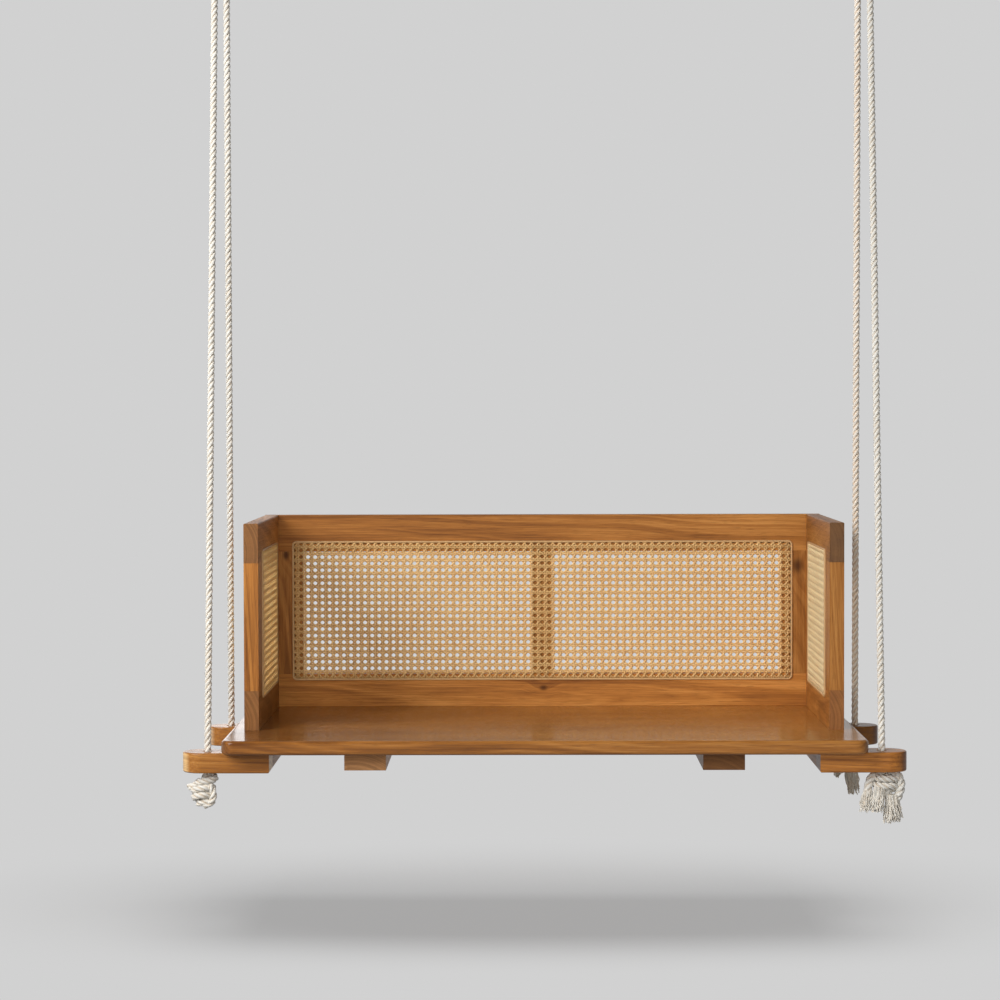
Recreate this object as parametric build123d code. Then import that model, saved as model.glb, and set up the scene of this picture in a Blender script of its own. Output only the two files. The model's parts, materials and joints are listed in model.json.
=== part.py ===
from build123d import *
from math import asin, atan2, cos, degrees, hypot, sin, sqrt
import os

# A jhoola: a wooden bench swing whose low back and sides are caned frames.
# It hangs from two ceiling hangers by four ropes.
# Millimetres. The row frame has its origin on the ceiling, midway between the
# hangers and above the bench's balance line. +X runs along the bench, +Y to the
# back and +Z up. The bench itself is drawn in its own seat frame: X as before,
# Y measured back from the seat's front edge and Z up from the seat's top face.

# ---------------------------------------------------------------- driving sizes
# Seat board
SEAT_WIDTH = 1080.0
SEAT_DEPTH = 610.0
SEAT_THICKNESS = 24.0
SEAT_CORNER_RADIUS = 22.0
SEAT_EDGE_RADIUS = 6.0

# Caned frames that stand on the seat
FRAME_THICKNESS = 25.0
FRAME_HEIGHT = 356.0
FRAME_END_INSET = 25.0
FRAME_ARRIS = 2.0
BACK_OVERHANG = 21.0
SIDE_DEPTH = 404.0
RAIL_HEIGHT = 68.0
BACK_BOTTOM_RAIL_HEIGHT = 60.0
BACK_STILE_WIDTH = 70.0
CENTRE_STILE_WIDTH = 38.0
SIDE_FRONT_STILE_WIDTH = 88.0
SIDE_REAR_STILE_WIDTH = 62.0
TENON_THICKNESS = 8.0
TENON_LENGTH = 30.0
TENON_SHOULDER = 9.0
TENON_CLEARANCE = 0.1

# Cane webbing pressed into a groove and locked there by a reed spline
CANE_MARGIN = 17.0
CANE_THICKNESS = 1.4
GROOVE_WIDTH = 5.2
GROOVE_DEPTH = 6.0
GROOVE_CORNER_RADIUS = 3.0
SPLINE_PROUD = 1.2
SPLINE_CLEARANCE = 0.1

# Timbers under the seat
BATTEN_WIDTH = 70.0
BATTEN_THICKNESS = 30.0
BATTEN_SPACING = 602.0
BATTEN_FRONT_INSET = 42.0
BATTEN_REAR_INSET = 42.0
ARM_THICKNESS = 34.0
ARM_WIDTH = 68.0
ARM_OVERHANG = 69.5
ARM_LENGTH = 148.0
ARM_FRONT_INSET = 34.0
ARM_REAR_INSET = 118.0
ARM_EDGE_RADIUS = 3.0
CLEAT_WIDTH = 66.0
CLEAT_END_GAP = 0.5

# Rope and the holes that it runs through
ROPE_DIAMETER = 12.5
ROPE_HOLE_CLEARANCE = 0.75
ROPE_HOLE_FROM_TIP = 41.5
ROPE_HOLE_MOUTH_CHAMFER = 2.0
ROPE_BEND_RADIUS = 80.0
ROPE_BEND_HEIGHT = 8.0
EYE_DEPTH = 60.0
SPLICE_LENGTH = 58.0
SPLICE_RADIUS = 10.5

# Ceiling hangers
DROP = 1490.0
PIVOT_BELOW_CEILING = 44.0
PLATE_LENGTH = 112.0
PLATE_WIDTH = 64.0
PLATE_THICKNESS = 6.0
PLATE_CORNER_RADIUS = 8.0
SCREW_HOLE_SPACING = 80.0
SCREW_HOLE_DIAMETER = 9.0
EAR_THICKNESS = 6.0
EAR_TIP_RADIUS = 17.0
EAR_ROOT_WIDTH = 54.0
EAR_WELD_RADIUS = 3.0
BOLT_DIAMETER = 12.0
BOLT_HOLE_CLEARANCE = 0.1
ROLLER_RUNNING_CLEARANCE = 0.05
ROLLER_END_CLEARANCE = 0.5
ROLLER_RADIUS = 13.7
ROLLER_RIB_RADIUS = 20.0
ROLLER_RIB_WIDTH = 2.0
THIMBLE_WIDTH = 15.2
THIMBLE_WALL = 1.6
THIMBLE_HEIGHT = 7.0
THIMBLE_LEG_LENGTH = 22.0
THIMBLE_POINT_GAP = 3.2
THIMBLE_GROOVE_FLOOR = 5.0
THIMBLE_CLEARANCE = 0.3
THIMBLE_ROPE_CLEARANCE = 0.15
THIMBLE_SIDE_CLEARANCE = 0.4

# Wood screws and bolt hardware
SCREW_SHANK_DIAMETER = 4.6
SCREW_HEAD_DIAMETER = 9.0
SCREW_HEAD_HEIGHT = 2.6
SCREW_CLEARANCE = 0.1
SCREW_TIP_COVER = 7.0
FRAME_SCREW_TENON_GAP = 8.0
CORNER_SCREW_LENGTH = 60.0
HEX_ACROSS_FLATS = 19.0
HEX_HEIGHT = 8.0
WASHER_DIAMETER = 24.0
WASHER_THICKNESS = 2.5
BOLT_THREAD_STICKOUT = 4.0

# ---------------------------------------------------------------- derived sizes
FRAME_SPAN = SEAT_WIDTH - 2 * FRAME_END_INSET
ROPE_RADIUS = ROPE_DIAMETER / 2
SEAT_BOTTOM = -SEAT_THICKNESS
ARM_BOTTOM = SEAT_BOTTOM - ARM_THICKNESS
BACK_FACE_Y = SEAT_DEPTH - BACK_OVERHANG - FRAME_THICKNESS
SIDE_FRONT_Y = BACK_FACE_Y - SIDE_DEPTH
SIDE_OUTER_X = FRAME_SPAN / 2
SIDE_INNER_X = SIDE_OUTER_X - FRAME_THICKNESS
ARM_TIP_X = SEAT_WIDTH / 2 + ARM_OVERHANG
ARM_INNER_X = ARM_TIP_X - ARM_LENGTH
HOLE_X = ARM_TIP_X - ROPE_HOLE_FROM_TIP
FRONT_ARM_Y = ARM_FRONT_INSET + ARM_WIDTH / 2
REAR_ARM_Y = SEAT_DEPTH - ARM_REAR_INSET - ARM_WIDTH / 2
PIVOT_Z = -PIVOT_BELOW_CEILING
SEAT_TOP_Z = PIVOT_Z - DROP
HANGER_X = HOLE_X
EYE_OFFSET = ROLLER_RIB_WIDTH / 2 + THIMBLE_SIDE_CLEARANCE + THIMBLE_WIDTH / 2
ROLLER_LENGTH = 2 * (EYE_OFFSET + THIMBLE_WIDTH / 2 + THIMBLE_SIDE_CLEARANCE)
EAR_GAP = ROLLER_LENGTH + 2 * ROLLER_END_CLEARANCE
BOLT_RADIUS = BOLT_DIAMETER / 2
BOLT_GRIP = EAR_GAP + 2 * EAR_THICKNESS + 2 * WASHER_THICKNESS
THIMBLE_SEAT_RADIUS = ROLLER_RADIUS + THIMBLE_CLEARANCE
EYE_RADIUS = THIMBLE_SEAT_RADIUS + THIMBLE_WALL + THIMBLE_ROPE_CLEARANCE + ROPE_RADIUS

SIDES = {"left": -1, "right": 1}


# ---------------------------------------------------------------- helpers
def board(x_range, y_range, z_range):
    """A plain board between three pairs of coordinates."""
    size = [high - low for low, high in (x_range, y_range, z_range)]
    centre = [(high + low) / 2 for low, high in (x_range, y_range, z_range)]
    return Pos(*centre) * Box(*size)


def eased(solid, axis, radius):
    """The board with the edges that run along one axis rounded over."""
    return fillet(solid.edges().filter_by(axis), radius)


def centred(middle, width):
    return middle - width / 2, middle + width / 2


def rod(radius, x_range):
    """A round bar along X."""
    low, high = x_range
    return Pos(low, 0, 0) * Rot(0, 90, 0) * extrude(Circle(radius), high - low)


def hexagon_bar(x_range):
    """A hexagonal bar along X, as a bolt head or a nut."""
    low, high = x_range
    flats = RegularPolygon(HEX_ACROSS_FLATS / 2, 6, major_radius=False)
    return Pos(low, 0, 0) * Rot(0, 90, 0) * extrude(flats, high - low)


# ---------------------------------------------------------------- wood screws
def screw_body(length, clearance=0.0):
    """A countersunk wood screw with its head at the origin and its tip up +Z."""
    head = SCREW_HEAD_DIAMETER / 2 + clearance
    shank = SCREW_SHANK_DIAMETER / 2 + clearance
    end = length + clearance
    outline = Polyline(
        (0, 0),
        (head, 0),
        (shank, SCREW_HEAD_HEIGHT + clearance),
        (shank, end),
        (0, end),
        close=True,
    )
    return revolve(Plane.XZ * make_face(outline), Axis.Z)


def screw_set(places, length, turn):
    """Screws and the clearance holes that they need, at a list of head places."""
    screws = [Pos(*place) * turn * screw_body(length) for place in places]
    holes = [Pos(*place) * turn * screw_body(length, SCREW_CLEARANCE) for place in places]
    return screws, holes


def drilled(solid, holes):
    """The solid with every hole that reaches it cut out."""
    for hole in holes:
        solid = solid - hole
    return solid


# ---------------------------------------------------------------- caned frames
def rectangle_ring(width, height, ring_width, corner_radius):
    outer = RectangleRounded(width, height, corner_radius + ring_width)
    inner = RectangleRounded(width - 2 * ring_width, height - 2 * ring_width, corner_radius)
    return outer - inner


def stile_with_tenons(width, height):
    """A stile's blank, centred, with a stub tenon at each end."""
    blank = Box(width, FRAME_THICKNESS, height)
    tenon_width = width - 2 * TENON_SHOULDER
    return blank + Box(tenon_width, TENON_THICKNESS, height + 2 * TENON_LENGTH)


def mortise(width, height):
    """What a pair of rails loses to the tenons of one stile."""
    return Box(
        width - 2 * TENON_SHOULDER + 2 * TENON_CLEARANCE,
        TENON_THICKNESS + 2 * TENON_CLEARANCE,
        height + 2 * TENON_LENGTH + 2 * TENON_CLEARANCE,
    )


def caned_frame(length, stiles, bottom_rail_height):
    """A caned frame in its own frame: X along its length, faced towards -Y.

    stiles maps each stile's name to its middle and its width. The first and the
    last stile bound the caned opening. The rails run the frame's full length.
    The cane keeps to the middle of the frame's height, whatever the bottom rail.
    """
    top_rail_z = FRAME_HEIGHT - RAIL_HEIGHT
    stile_height = top_rail_z - bottom_rail_height
    depth = (0, FRAME_THICKNESS)
    pieces = {
        "bottom_rail": board((0, length), depth, (0, bottom_rail_height)),
        "top_rail": board((0, length), depth, (top_rail_z, FRAME_HEIGHT)),
    }
    top_edges = pieces["top_rail"].edges().filter_by(Axis.X).group_by(Axis.Z)[-1]
    pieces["top_rail"] = fillet(top_edges, FRAME_ARRIS)
    for name, (middle, width) in stiles.items():
        place = Pos(middle, FRAME_THICKNESS / 2, bottom_rail_height + stile_height / 2)
        pieces[name] = place * stile_with_tenons(width, stile_height)
        for rail in ("bottom_rail", "top_rail"):
            pieces[rail] = pieces[rail] - place * mortise(width, stile_height)

    (first, first_width), (last, last_width) = list(stiles.values())[0], list(stiles.values())[-1]
    opening = (first + first_width / 2, last - last_width / 2)
    cane_width = opening[1] - opening[0] + 2 * CANE_MARGIN
    cane_height = FRAME_HEIGHT - 2 * RAIL_HEIGHT + 2 * CANE_MARGIN
    cane_middle = (sum(opening) / 2, 0, FRAME_HEIGHT / 2)
    face = Plane(origin=cane_middle, x_dir=(1, 0, 0), z_dir=(0, 1, 0))
    groove_outline = rectangle_ring(
        cane_width + GROOVE_WIDTH, cane_height + GROOVE_WIDTH, GROOVE_WIDTH, GROOVE_CORNER_RADIUS
    )
    groove = extrude(face * groove_outline, GROOVE_DEPTH)
    for name in pieces:
        pieces[name] = pieces[name] - groove

    # The cane lies on the frame and turns down into the groove's inner side.
    sheet = RectangleRounded(
        cane_width - GROOVE_WIDTH + 2 * CANE_THICKNESS,
        cane_height - GROOVE_WIDTH + 2 * CANE_THICKNESS,
        GROOVE_CORNER_RADIUS + CANE_THICKNESS,
    )
    lip = rectangle_ring(
        cane_width - GROOVE_WIDTH + 2 * CANE_THICKNESS,
        cane_height - GROOVE_WIDTH + 2 * CANE_THICKNESS,
        CANE_THICKNESS,
        GROOVE_CORNER_RADIUS,
    )
    cane = extrude(face * sheet, -CANE_THICKNESS) + extrude(face * lip, GROOVE_DEPTH)

    # The spline fills the rest of the groove and stands a little proud, rounded.
    spline_width = GROOVE_WIDTH - CANE_THICKNESS - 2 * SPLINE_CLEARANCE
    spline_outline = rectangle_ring(
        cane_width + GROOVE_WIDTH - 2 * SPLINE_CLEARANCE,
        cane_height + GROOVE_WIDTH - 2 * SPLINE_CLEARANCE,
        spline_width,
        GROOVE_CORNER_RADIUS + CANE_THICKNESS,
    )
    proud = CANE_THICKNESS + SPLINE_PROUD
    spline = extrude(face * spline_outline, GROOVE_DEPTH) + extrude(face * spline_outline, -proud)
    crest = spline.faces().sort_by(Axis.Y)[0]
    spline = fillet(crest.edges(), spline_width / 2 - SPLINE_CLEARANCE)
    pieces["cane"] = cane
    pieces["spline"] = spline
    return pieces


def back_frame():
    side = BACK_STILE_WIDTH / 2
    stiles = {
        "left_stile": (side, BACK_STILE_WIDTH),
        "centre_stile": (FRAME_SPAN / 2, CENTRE_STILE_WIDTH),
        "right_stile": (FRAME_SPAN - side, BACK_STILE_WIDTH),
    }
    place = Pos(-FRAME_SPAN / 2, BACK_FACE_Y, 0)
    pieces = caned_frame(FRAME_SPAN, stiles, BACK_BOTTOM_RAIL_HEIGHT)
    return {"back_" + name: place * piece for name, piece in pieces.items()}


def side_frame():
    """The left side, with its cane facing the sitter, from front to back."""
    stiles = {
        "front_stile": (SIDE_FRONT_STILE_WIDTH / 2, SIDE_FRONT_STILE_WIDTH),
        "rear_stile": (SIDE_DEPTH - SIDE_REAR_STILE_WIDTH / 2, SIDE_REAR_STILE_WIDTH),
    }
    place = Pos(-SIDE_INNER_X, SIDE_FRONT_Y, 0) * Rot(0, 0, 90)
    pieces = caned_frame(SIDE_DEPTH, stiles, RAIL_HEIGHT)
    return {name: place * piece for name, piece in pieces.items()}


# ---------------------------------------------------------------- seat and timbers
def seat_board():
    outline = RectangleRounded(SEAT_WIDTH, SEAT_DEPTH, SEAT_CORNER_RADIUS)
    solid = Pos(0, SEAT_DEPTH / 2, SEAT_BOTTOM) * extrude(outline, SEAT_THICKNESS)
    rims = solid.faces().filter_by(Axis.Z).edges()
    return fillet(rims, SEAT_EDGE_RADIUS)


def rope_arm(middle_y):
    """The right-hand arm at one depth: a round-ended block with the rope's hole."""
    nose = ARM_WIDTH / 2
    outline = Pos(ARM_TIP_X - nose, middle_y) * Circle(nose)
    body = Pos((ARM_INNER_X + ARM_TIP_X - nose) / 2, middle_y) * Rectangle(ARM_LENGTH - nose, ARM_WIDTH)
    solid = Pos(0, 0, ARM_BOTTOM) * extrude(outline + body, ARM_THICKNESS)
    rims = solid.faces().filter_by(Axis.Z).edges()
    solid = fillet(rims, ARM_EDGE_RADIUS)
    hole_radius = ROPE_RADIUS + ROPE_HOLE_CLEARANCE
    hole = Pos(HOLE_X, middle_y, ARM_BOTTOM + ARM_THICKNESS / 2) * Cylinder(hole_radius, 2 * ARM_THICKNESS)
    solid = solid - hole
    mouths = [
        edge
        for edge in solid.edges().filter_by(GeomType.CIRCLE)
        if abs(edge.radius - hole_radius) < 0.01
    ]
    return chamfer(mouths, ROPE_HOLE_MOUTH_CHAMFER)


def end_cleat():
    """The right-hand board under the seat's end, between its two rope arms."""
    front = FRONT_ARM_Y + ARM_WIDTH / 2 + CLEAT_END_GAP
    rear = REAR_ARM_Y - ARM_WIDTH / 2 - CLEAT_END_GAP
    x_range = (ARM_INNER_X, ARM_INNER_X + CLEAT_WIDTH)
    return eased(board(x_range, (front, rear), (ARM_BOTTOM, SEAT_BOTTOM)), Axis.Y, ARM_EDGE_RADIUS)


def batten():
    """The right-hand board across the middle of the seat, from front to back."""
    y_range = (BATTEN_FRONT_INSET, SEAT_DEPTH - BATTEN_REAR_INSET)
    z_range = (SEAT_BOTTOM - BATTEN_THICKNESS, SEAT_BOTTOM)
    return board(centred(BATTEN_SPACING / 2, BATTEN_WIDTH), y_range, z_range)


def spread(low, high, count):
    """Evenly spaced places from low to high, both ends included."""
    return [low + (high - low) * index / (count - 1) for index in range(count)]


def screw_plan():
    """Right-hand screw places by group: head places, length and direction."""
    batten_length = BATTEN_THICKNESS + SEAT_THICKNESS - SCREW_TIP_COVER
    arm_length = ARM_THICKNESS + SEAT_THICKNESS - SCREW_TIP_COVER
    frame_length = SEAT_THICKNESS + RAIL_HEIGHT - TENON_LENGTH - FRAME_SCREW_TENON_GAP
    middle_of_cleat = ARM_INNER_X + CLEAT_WIDTH / 2
    cleat_y = spread(FRONT_ARM_Y + ARM_WIDTH, REAR_ARM_Y - ARM_WIDTH, 2)
    arm_x = (ARM_INNER_X + ARM_WIDTH / 4, ARM_INNER_X + ARM_WIDTH * 3 / 4)
    side_x = SIDE_INNER_X + FRAME_THICKNESS / 2
    side_y = (REAR_ARM_Y + ARM_WIDTH * 0.75, FRONT_ARM_Y + ARM_WIDTH * 1.75)
    back_y = BACK_FACE_Y + FRAME_THICKNESS / 2
    back_x = (BATTEN_SPACING / 4, SIDE_OUTER_X - FRAME_SPAN / 10)
    corner_low = (BACK_BOTTOM_RAIL_HEIGHT - TENON_LENGTH) * 0.8
    corner_z = (corner_low, FRAME_HEIGHT / 2, FRAME_HEIGHT - corner_low)
    under_batten = SEAT_BOTTOM - BATTEN_THICKNESS
    up = Rot(0, 0, 0)
    forward = Rot(90, 0, 0)
    return {
        "batten_screws": (
            [
                (BATTEN_SPACING / 2, y, under_batten)
                for y in spread(2 * BATTEN_FRONT_INSET, SEAT_DEPTH - 2 * BATTEN_REAR_INSET, 3)
            ],
            batten_length,
            up,
        ),
        "arm_screws": (
            [(x, y, ARM_BOTTOM) for x in arm_x for y in (FRONT_ARM_Y, REAR_ARM_Y)],
            arm_length,
            up,
        ),
        "cleat_screws": ([(middle_of_cleat, y, ARM_BOTTOM) for y in cleat_y], arm_length, up),
        "frame_screws": (
            [(side_x, y, SEAT_BOTTOM) for y in side_y] + [(x, back_y, SEAT_BOTTOM) for x in back_x],
            frame_length,
            up,
        ),
        "corner_screws": (
            [(side_x, BACK_FACE_Y + FRAME_THICKNESS, z) for z in corner_z],
            CORNER_SCREW_LENGTH,
            forward,
        ),
    }


# ---------------------------------------------------------------- rope eyes
def eye_lean():
    """How far an eye's legs lean in towards the splice, in radians."""
    reach = hypot(ROPE_RADIUS, EYE_DEPTH)
    return asin(EYE_RADIUS / reach) - atan2(ROPE_RADIUS, EYE_DEPTH)


def teardrop(section, leg_length):
    """A section carried over the crown of an eye and down its two legs.

    The section is drawn with X along the pin and Y pointing away from it.
    """
    lean = eye_lean()
    start = Plane(origin=(0, 0, 0), x_dir=(1, 0, 0), z_dir=(0, sin(lean), cos(lean)))
    face = start * section
    crown = revolve(face, Axis.X, 180 + 2 * degrees(lean))
    leg = extrude(face, -leg_length)
    return crown + leg + mirror(leg, about=Plane.XZ)


def rope_eye():
    """An eye with its tapered splice, hanging from a pin at the origin."""
    throat = sqrt(ROPE_RADIUS**2 + EYE_DEPTH**2 - EYE_RADIUS**2)
    loop = teardrop(Pos(0, EYE_RADIUS) * Circle(ROPE_RADIUS), throat)
    bottom = -EYE_DEPTH - SPLICE_LENGTH
    outline = Polyline(
        (0, -EYE_DEPTH + ROPE_DIAMETER),
        (ROPE_RADIUS, -EYE_DEPTH + ROPE_DIAMETER),
        (SPLICE_RADIUS, -EYE_DEPTH),
        (SPLICE_RADIUS, -EYE_DEPTH - ROPE_DIAMETER),
        (ROPE_RADIUS, bottom),
        (0, bottom),
        close=True,
    )
    return loop + revolve(Plane.XZ * make_face(outline), Axis.Z)


def thimble():
    """A teardrop thimble: a channel that the rope lies in, open at its point."""
    seat = THIMBLE_SEAT_RADIUS
    channel = Pos(0, seat + THIMBLE_HEIGHT / 2) * Rectangle(THIMBLE_WIDTH, THIMBLE_HEIGHT)
    room = ROPE_RADIUS + THIMBLE_ROPE_CLEARANCE
    groove = Polyline(
        (-THIMBLE_GROOVE_FLOOR / 2, EYE_RADIUS - room),
        (THIMBLE_GROOVE_FLOOR / 2, EYE_RADIUS - room),
        (room, EYE_RADIUS - room / 2),
        (room, EYE_RADIUS + room),
        (-room, EYE_RADIUS + room),
        (-room, EYE_RADIUS - room / 2),
        close=True,
    )
    rope_room = make_face(groove)
    shape = teardrop(channel - rope_room, THIMBLE_LEG_LENGTH)
    gap = board(centred(0, 2 * THIMBLE_WIDTH), centred(0, THIMBLE_POINT_GAP), (-2 * EYE_DEPTH, -seat))
    return shape - gap - teardrop(rope_room, EYE_DEPTH)


# ---------------------------------------------------------------- hangers
def hanger_bracket():
    """A ceiling plate with two ears welded under it, centred on its pin."""
    plate_outline = RectangleRounded(PLATE_WIDTH, PLATE_LENGTH, PLATE_CORNER_RADIUS)
    holes = GridLocations(0, SCREW_HOLE_SPACING, 1, 2) * Circle(SCREW_HOLE_DIAMETER / 2)
    plate = Pos(0, 0, -PLATE_THICKNESS) * extrude(plate_outline - holes, PLATE_THICKNESS)
    tip = Pos(0, PIVOT_Z) * Circle(EAR_TIP_RADIUS)
    root_height = 2 * EAR_WELD_RADIUS
    root = Pos(0, -PLATE_THICKNESS - root_height / 2) * Rectangle(EAR_ROOT_WIDTH, root_height)
    bolt_hole = Pos(0, PIVOT_Z) * Circle(BOLT_RADIUS + BOLT_HOLE_CLEARANCE)
    ear_outline = make_hull((tip + root).edges()) - bolt_hole
    ear_plane = Plane(origin=(EAR_GAP / 2, 0, 0), x_dir=(0, 1, 0), z_dir=(1, 0, 0))
    ear = extrude(ear_plane * ear_outline, EAR_THICKNESS)
    bracket = plate + ear + mirror(ear, about=Plane.YZ)
    welds = [
        edge
        for edge in bracket.edges().filter_by(Axis.Y)
        if abs(edge.center().Z + PLATE_THICKNESS) < 0.01 and abs(edge.center().Y) < 0.01
    ]
    return fillet(welds, EAR_WELD_RADIUS)


def pivot_bolt():
    end = BOLT_GRIP / 2
    head = hexagon_bar((-end - HEX_HEIGHT, -end))
    shank = rod(BOLT_RADIUS, (-end, end + HEX_HEIGHT + BOLT_THREAD_STICKOUT))
    tip = shank.faces().sort_by(Axis.X)[-1].edges()
    return head + chamfer(tip, BOLT_RADIUS / 6)


def pivot_nut():
    end = BOLT_GRIP / 2
    nut = hexagon_bar((end, end + HEX_HEIGHT))
    return nut - rod(BOLT_RADIUS + ROLLER_RUNNING_CLEARANCE, (end - 1, end + HEX_HEIGHT + 1))


def pivot_washers():
    washers = []
    for low in (-BOLT_GRIP / 2, BOLT_GRIP / 2 - WASHER_THICKNESS):
        disc = rod(WASHER_DIAMETER / 2, (low, low + WASHER_THICKNESS))
        washers.append(disc - rod(BOLT_RADIUS + BOLT_HOLE_CLEARANCE, (low - 1, low + WASHER_THICKNESS + 1)))
    return washers


def roller():
    """The nylon sleeve that turns on the bolt, with a rib between the two eyes."""
    half = ROLLER_LENGTH / 2
    solid = rod(ROLLER_RADIUS, (-half, half)) + rod(ROLLER_RIB_RADIUS, centred(0, ROLLER_RIB_WIDTH))
    return solid - rod(BOLT_RADIUS + ROLLER_RUNNING_CLEARANCE, (-half - 1, half + 1))


# ---------------------------------------------------------------- ropes and knots
def knot(neck, belly, height, tails):
    """A stopper knot that hangs from the origin: a turned body and loose ends.

    tails lists each loose end as its lean left or right and forward in degrees,
    its length from the knot's middle and its radii at the knot and at the tip.
    """
    outline = Polyline(
        (0, 0),
        (neck, 0),
        (neck, -height * 0.28),
        (neck * 0.8, -height * 0.34),
        (belly, -height * 0.5),
        (belly, -height * 0.78),
        (neck * 0.6, -height),
        (0, -height),
        close=True,
    )
    solid = revolve(Plane.XZ * make_face(outline), Axis.Z)
    for lean, forward, length, root, tip in tails:
        outline = Polyline((0, 0), (root, 0), (tip, -length), (0, -length), close=True)
        end = revolve(Plane.XZ * make_face(outline), Axis.Z)
        solid = solid + Pos(0, 0, -height * 0.5) * Rot(-forward, -lean, 0) * end
    return solid


# Neck radius, belly radius, height and loose ends of each knot
KNOTS = {
    "front_left": (19.0, 23.0, 46.0, [(24, 0, 36, 6.5, 6.5), (-62, 10, 30, 6.5, 6.5)]),
    "front_right": (18.0, 25.0, 58.0, [(-26, 8, 62, 9.0, 19.0), (24, 0, 66, 9.0, 17.0)]),
    "rear_left": (18.0, 20.0, 40.0, []),
    "rear_right": (18.0, 20.0, 44.0, [(-12, 0, 68, 8.0, 16.0)]),
}


def rope_route(side, middle_y, pin_offset, balance_y):
    """Three points of one taut rope and the plane of its eye, in the row frame."""
    sign = SIDES[side]
    pin = Vector(sign * (HANGER_X + pin_offset), 0, PIVOT_Z)
    y = middle_y - balance_y
    bend = Vector(sign * HOLE_X, y, SEAT_TOP_Z + SEAT_BOTTOM + ROPE_BEND_HEIGHT)
    under = Vector(sign * HOLE_X, y, SEAT_TOP_Z + ARM_BOTTOM)
    down = (bend - pin).normalized()
    eye_plane = Plane(origin=pin, x_dir=(1, 0, 0), z_dir=-down)
    start = pin + down * (EYE_DEPTH + SPLICE_LENGTH)
    return [start, bend, under], eye_plane


def rope_tube(name, points):
    path = FilletPolyline(*points, radius=ROPE_BEND_RADIUS)
    start = Plane(origin=points[0], z_dir=points[1] - points[0])
    tube = sweep(start * Circle(ROPE_RADIUS), path=path)
    expected = Circle(ROPE_RADIUS).area * path.length
    turn = (points[1] - points[0]).get_angle(points[2] - points[1])
    print(f"{name}: length {path.length:.1f}, bend radius {ROPE_BEND_RADIUS:.0f}, turn {turn:.1f} degrees,")
    print(f"  volume {tube.volume:.0f} against {expected:.0f}")
    for point in points:
        print(f"  through {point.X:.1f}, {point.Y:.1f}, {point.Z:.1f}")
    return tube


# ---------------------------------------------------------------- assembly
def bench():
    """Every piece of the bench in the seat frame."""
    side = side_frame()
    right = {
        "end_cleat": end_cleat(),
        "batten": batten(),
        "rope_arm_front": rope_arm(FRONT_ARM_Y),
        "rope_arm_rear": rope_arm(REAR_ARM_Y),
    }
    pieces = {"seat_board": seat_board()}
    pieces.update(back_frame())
    for name, piece in side.items():
        pieces["left_" + name] = piece
        pieces["right_" + name] = mirror(piece, about=Plane.YZ)
    for name, piece in right.items():
        pieces[name + "_right"] = piece
        pieces[name + "_left"] = mirror(piece, about=Plane.YZ)

    drilling = {
        "batten_screws": ["seat_board", "batten_left", "batten_right"],
        "arm_screws": ["seat_board"] + [f"rope_arm_{end}_{s}" for end in ("front", "rear") for s in SIDES],
        "cleat_screws": ["seat_board", "end_cleat_left", "end_cleat_right"],
        "frame_screws": ["seat_board", "back_bottom_rail", "left_bottom_rail", "right_bottom_rail"],
        "corner_screws": [
            f"{part}_{member}"
            for part, members in {
                "back": ("bottom_rail", "top_rail", "left_stile", "right_stile"),
                "left": ("bottom_rail", "top_rail", "rear_stile"),
                "right": ("bottom_rail", "top_rail", "rear_stile"),
            }.items()
            for member in members
        ],
    }
    for group, (places, length, turn) in screw_plan().items():
        both_sides = places + [(-x, y, z) for x, y, z in places]
        screws, holes = screw_set(both_sides, length, turn)
        pieces[group] = Compound(children=screws)
        for node in drilling[group]:
            pieces[node] = drilled(pieces[node], holes)
    return pieces


def balance_line(pieces):
    """How far behind the seat's front edge the wooden bench balances."""
    wood = [piece for name, piece in pieces.items() if not name.endswith("screws")]
    moment = sum(piece.volume * piece.center(CenterOf.MASS).Y for piece in wood)
    return moment / sum(piece.volume for piece in wood)


def hangers():
    """Brackets, bolts and what turns on them, in the row frame."""
    pieces = {}
    nuts = []
    washers = []
    for side, sign in SIDES.items():
        ceiling = Pos(sign * HANGER_X, 0, 0)
        pin = Pos(sign * HANGER_X, 0, PIVOT_Z) * Rot(0, 0, 90 * (1 - sign))
        pieces["hanger_bracket_" + side] = ceiling * hanger_bracket()
        pieces["pivot_bolt_" + side] = pin * pivot_bolt()
        pieces["pivot_roller_" + side] = pin * roller()
        nuts.append(pin * pivot_nut())
        washers += [pin * washer for washer in pivot_washers()]
    pieces["pivot_nuts"] = Compound(children=nuts)
    pieces["pivot_washers"] = Compound(children=washers)
    return pieces


def rigging(balance_y):
    """Ropes, eyes, thimbles and knots, in the row frame."""
    pieces = {}
    arms = {"front": (FRONT_ARM_Y, EYE_OFFSET), "rear": (REAR_ARM_Y, -EYE_OFFSET)}
    for end, (middle_y, pin_offset) in arms.items():
        for side in SIDES:
            name = f"{end}_{side}"
            points, eye_plane = rope_route(side, middle_y, pin_offset, balance_y)
            pieces["rope_" + name] = rope_tube("rope_" + name, points)
            pieces["rope_eye_" + name] = eye_plane.location * rope_eye()
            pieces["thimble_" + name] = eye_plane.location * thimble()
            neck, belly, height, tails = KNOTS[name]
            pieces["knot_" + name] = Pos(*points[-1]) * knot(neck, belly, height, tails)
    return pieces


os.makedirs("parts", exist_ok=True)
bench_pieces = bench()
balance_y = balance_line(bench_pieces)
print(f"balance line {balance_y:.2f} behind the seat's front edge")
to_row_frame = Pos(0, -balance_y, SEAT_TOP_Z)
nodes = {name: to_row_frame * piece for name, piece in bench_pieces.items()}
nodes.update(hangers())
nodes.update(rigging(balance_y))
for name, shape in nodes.items():
    export_step(shape, f"parts/{name}.step")
print(f"{len(nodes)} nodes written")
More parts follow.
